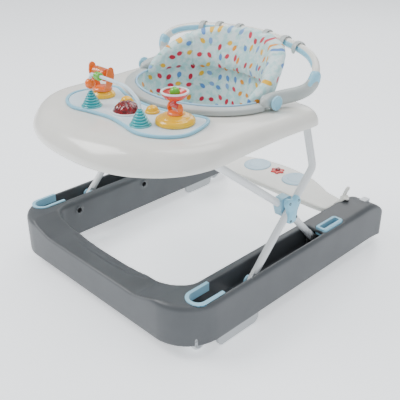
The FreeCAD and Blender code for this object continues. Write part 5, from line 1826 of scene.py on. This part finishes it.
@dataclass
class Wheels:
    """Twin wheels with a rounded tread and a dished, ribbed face."""

    radius: float = 20.0
    width: float = 10.5
    gap: float = 7.0
    axle: float = 2.6
    spokes: int = 6

    def build_wheel(self, centre: Vector, outward: int) -> Piece:
        """One wheel whose dished face looks outwards."""
        half, rim = self.width / 2.0, self.radius
        profile = [(self.axle, -half), (rim - 2.6, -half), (rim - 0.8, -half + 0.7), (rim, -half + 2.2),
                   (rim, half - 2.2), (rim - 0.8, half - 0.7), (rim - 2.6, half), (rim - 5.4, half),
                   (rim - 6.2, half - 1.0), (rim - 6.6, half - 3.2), (7.0, half - 3.4), (6.2, half - 1.0),
                   (5.4, half), (self.axle, half)]
        return lathe("wheel", profile, centre, Vector((outward, 0, 0)), 56)

    def build_pair(self, node: str) -> Piece:
        """Both wheels of a node, with spokes across their dished faces."""
        middle = node_middle(node) * MM
        parts = []
        offset = (self.gap + self.width) / 2.0 * MM
        for outward in (-1, 1):
            centre = middle + Vector((outward * offset, 0, 0))
            parts.append(self.build_wheel(centre, outward))
            face = centre + Vector((outward * (self.width / 2.0 - 2.6) * MM, 0, 0))
            for index in range(self.spokes):
                angle = 2.0 * math.pi * index / self.spokes
                way = Vector((0, math.cos(angle), math.sin(angle)))
                path = [face + way * (reach * MM) for reach in (5.0, 8.0, 11.0, 14.2)]
                parts.append(sweep("spoke", path, rounded_section(2.2, 3.0, 3.0, 10), up=Vector((1, 0, 0)),
                                   round_ends=False))
        return merge(node + "_moulded", parts)

    def dress(self) -> None:
        """Build the wheels on their rolling bodies."""
        for kind, body in (("caster_wheels_", "caster_roll_"), ("rear_wheels_", "rear_roll_")):
            for side in Side:
                name = side.name.lower()
                ride_named(self.build_pair(kind + name), body + name, "wheel_plastic", (kind + name,))


# ---------------------------------------------------------------- studio


@dataclass
class Studio:
    """Pale floor, soft lights and the camera."""

    azimuth: float = 45.25
    elevation: float = 27.64
    distance: float = 1591.82
    across: float = 15.31
    above: float = 123.53
    lens: float = 57.83
    sensor: float = 36.0
    floor_half: float = 6000.0

    def axes(self) -> tuple[Vector, Vector, Vector]:
        """Right, up and back directions of the camera."""
        turn, rise = math.radians(self.azimuth), math.radians(self.elevation)
        right = Vector((math.cos(turn), math.sin(turn), 0.0))
        back = Vector((math.sin(turn) * math.cos(rise), -math.cos(turn) * math.cos(rise), math.sin(rise)))
        return right, back.cross(right), back

    def build_camera(self) -> None:
        """Camera that looks down on the walker's right front corner."""
        right, up, back = self.axes()
        data = bpy.data.cameras.new("studio_camera")
        data.lens = self.lens
        data.sensor_width = self.sensor
        camera = bpy.data.objects.new("studio_camera", data)
        bpy.context.scene.collection.objects.link(camera)
        spot = (back * self.distance + right * self.across + up * self.above) * MM
        turn = Matrix((right, up, back)).transposed().to_4x4()
        camera.matrix_world = Matrix.Translation(spot) @ turn
        bpy.context.scene.camera = camera

    def build_floor(self) -> None:
        """Seamless pale floor."""
        half = self.floor_half
        corners = [place(-half, -half, 0), place(half, -half, 0), place(half, half, 0), place(-half, half, 0)]
        floor = make_mesh("studio_floor", corners, [(0, 1, 2, 3)])
        floor.data.materials.append(StudioPaper().material())

    def add_light(self, name: str, spot: tuple[float, float, float], power: float, size: float,
                  tint: str = "#FFFFFF") -> None:
        """Square soft box that looks at the walker.

        Args:
            name: Light name.
            spot: Its place in metres.
            power: Watts.
            size: Side of the square in metres.
            tint: Colour of the light.
        """
        data = bpy.data.lights.new(name, "AREA")
        data.energy = power
        data.size = size
        data.color = linear(tint)[:3]
        light = bpy.data.objects.new(name, data)
        light.location = spot
        aim = Vector((0.0, 0.0, 0.25)) - Vector(spot)
        light.rotation_euler = aim.to_track_quat("-Z", "Y").to_euler()
        bpy.context.scene.collection.objects.link(light)

    def build_world(self) -> None:
        """Even pale surround."""
        world = bpy.data.worlds.new("studio_surround")
        world.use_nodes = True
        tree = world.node_tree
        tree.nodes.clear()
        glow = add_node(tree, "ShaderNodeBackground", {0: linear("#F4F8FC"), 1: 0.62})
        add_node(tree, "ShaderNodeOutputWorld", {0: glow.outputs[0]})
        bpy.context.scene.world = world

    def build(self) -> None:
        """Set up the whole studio."""
        self.build_camera()
        self.build_floor()
        self.build_world()
        self.add_light("key_box", (-1.7, -1.5, 2.7), 84.0, 1.5)
        self.add_light("fill_box", (2.4, -0.8, 1.6), 11.0, 2.0, "#F4F8FF")
        self.add_light("top_box", (0.1, 0.8, 3.0), 46.0, 2.0)
        self.add_light("rear_box", (-1.2, 2.4, 1.7), 18.0, 1.6)


def main() -> None:
    """Build the walker's looks in order."""
    logging.basicConfig(level=logging.INFO, format="%(name)s: %(message)s")
    Studio().build()
    dress_frame()
    for assembly in (BaseMoulding(), Tray(), SeatRing(), SoftSeat(), BackRest(), PlayPanel(), Keys(), ToyArch(), SideToys(),
                     HubCovers(), FootPanel(), Wheels()):
        LOG.info("building %s", type(assembly).__name__)
        assembly.dress()


if __name__ == "__main__":
    main()
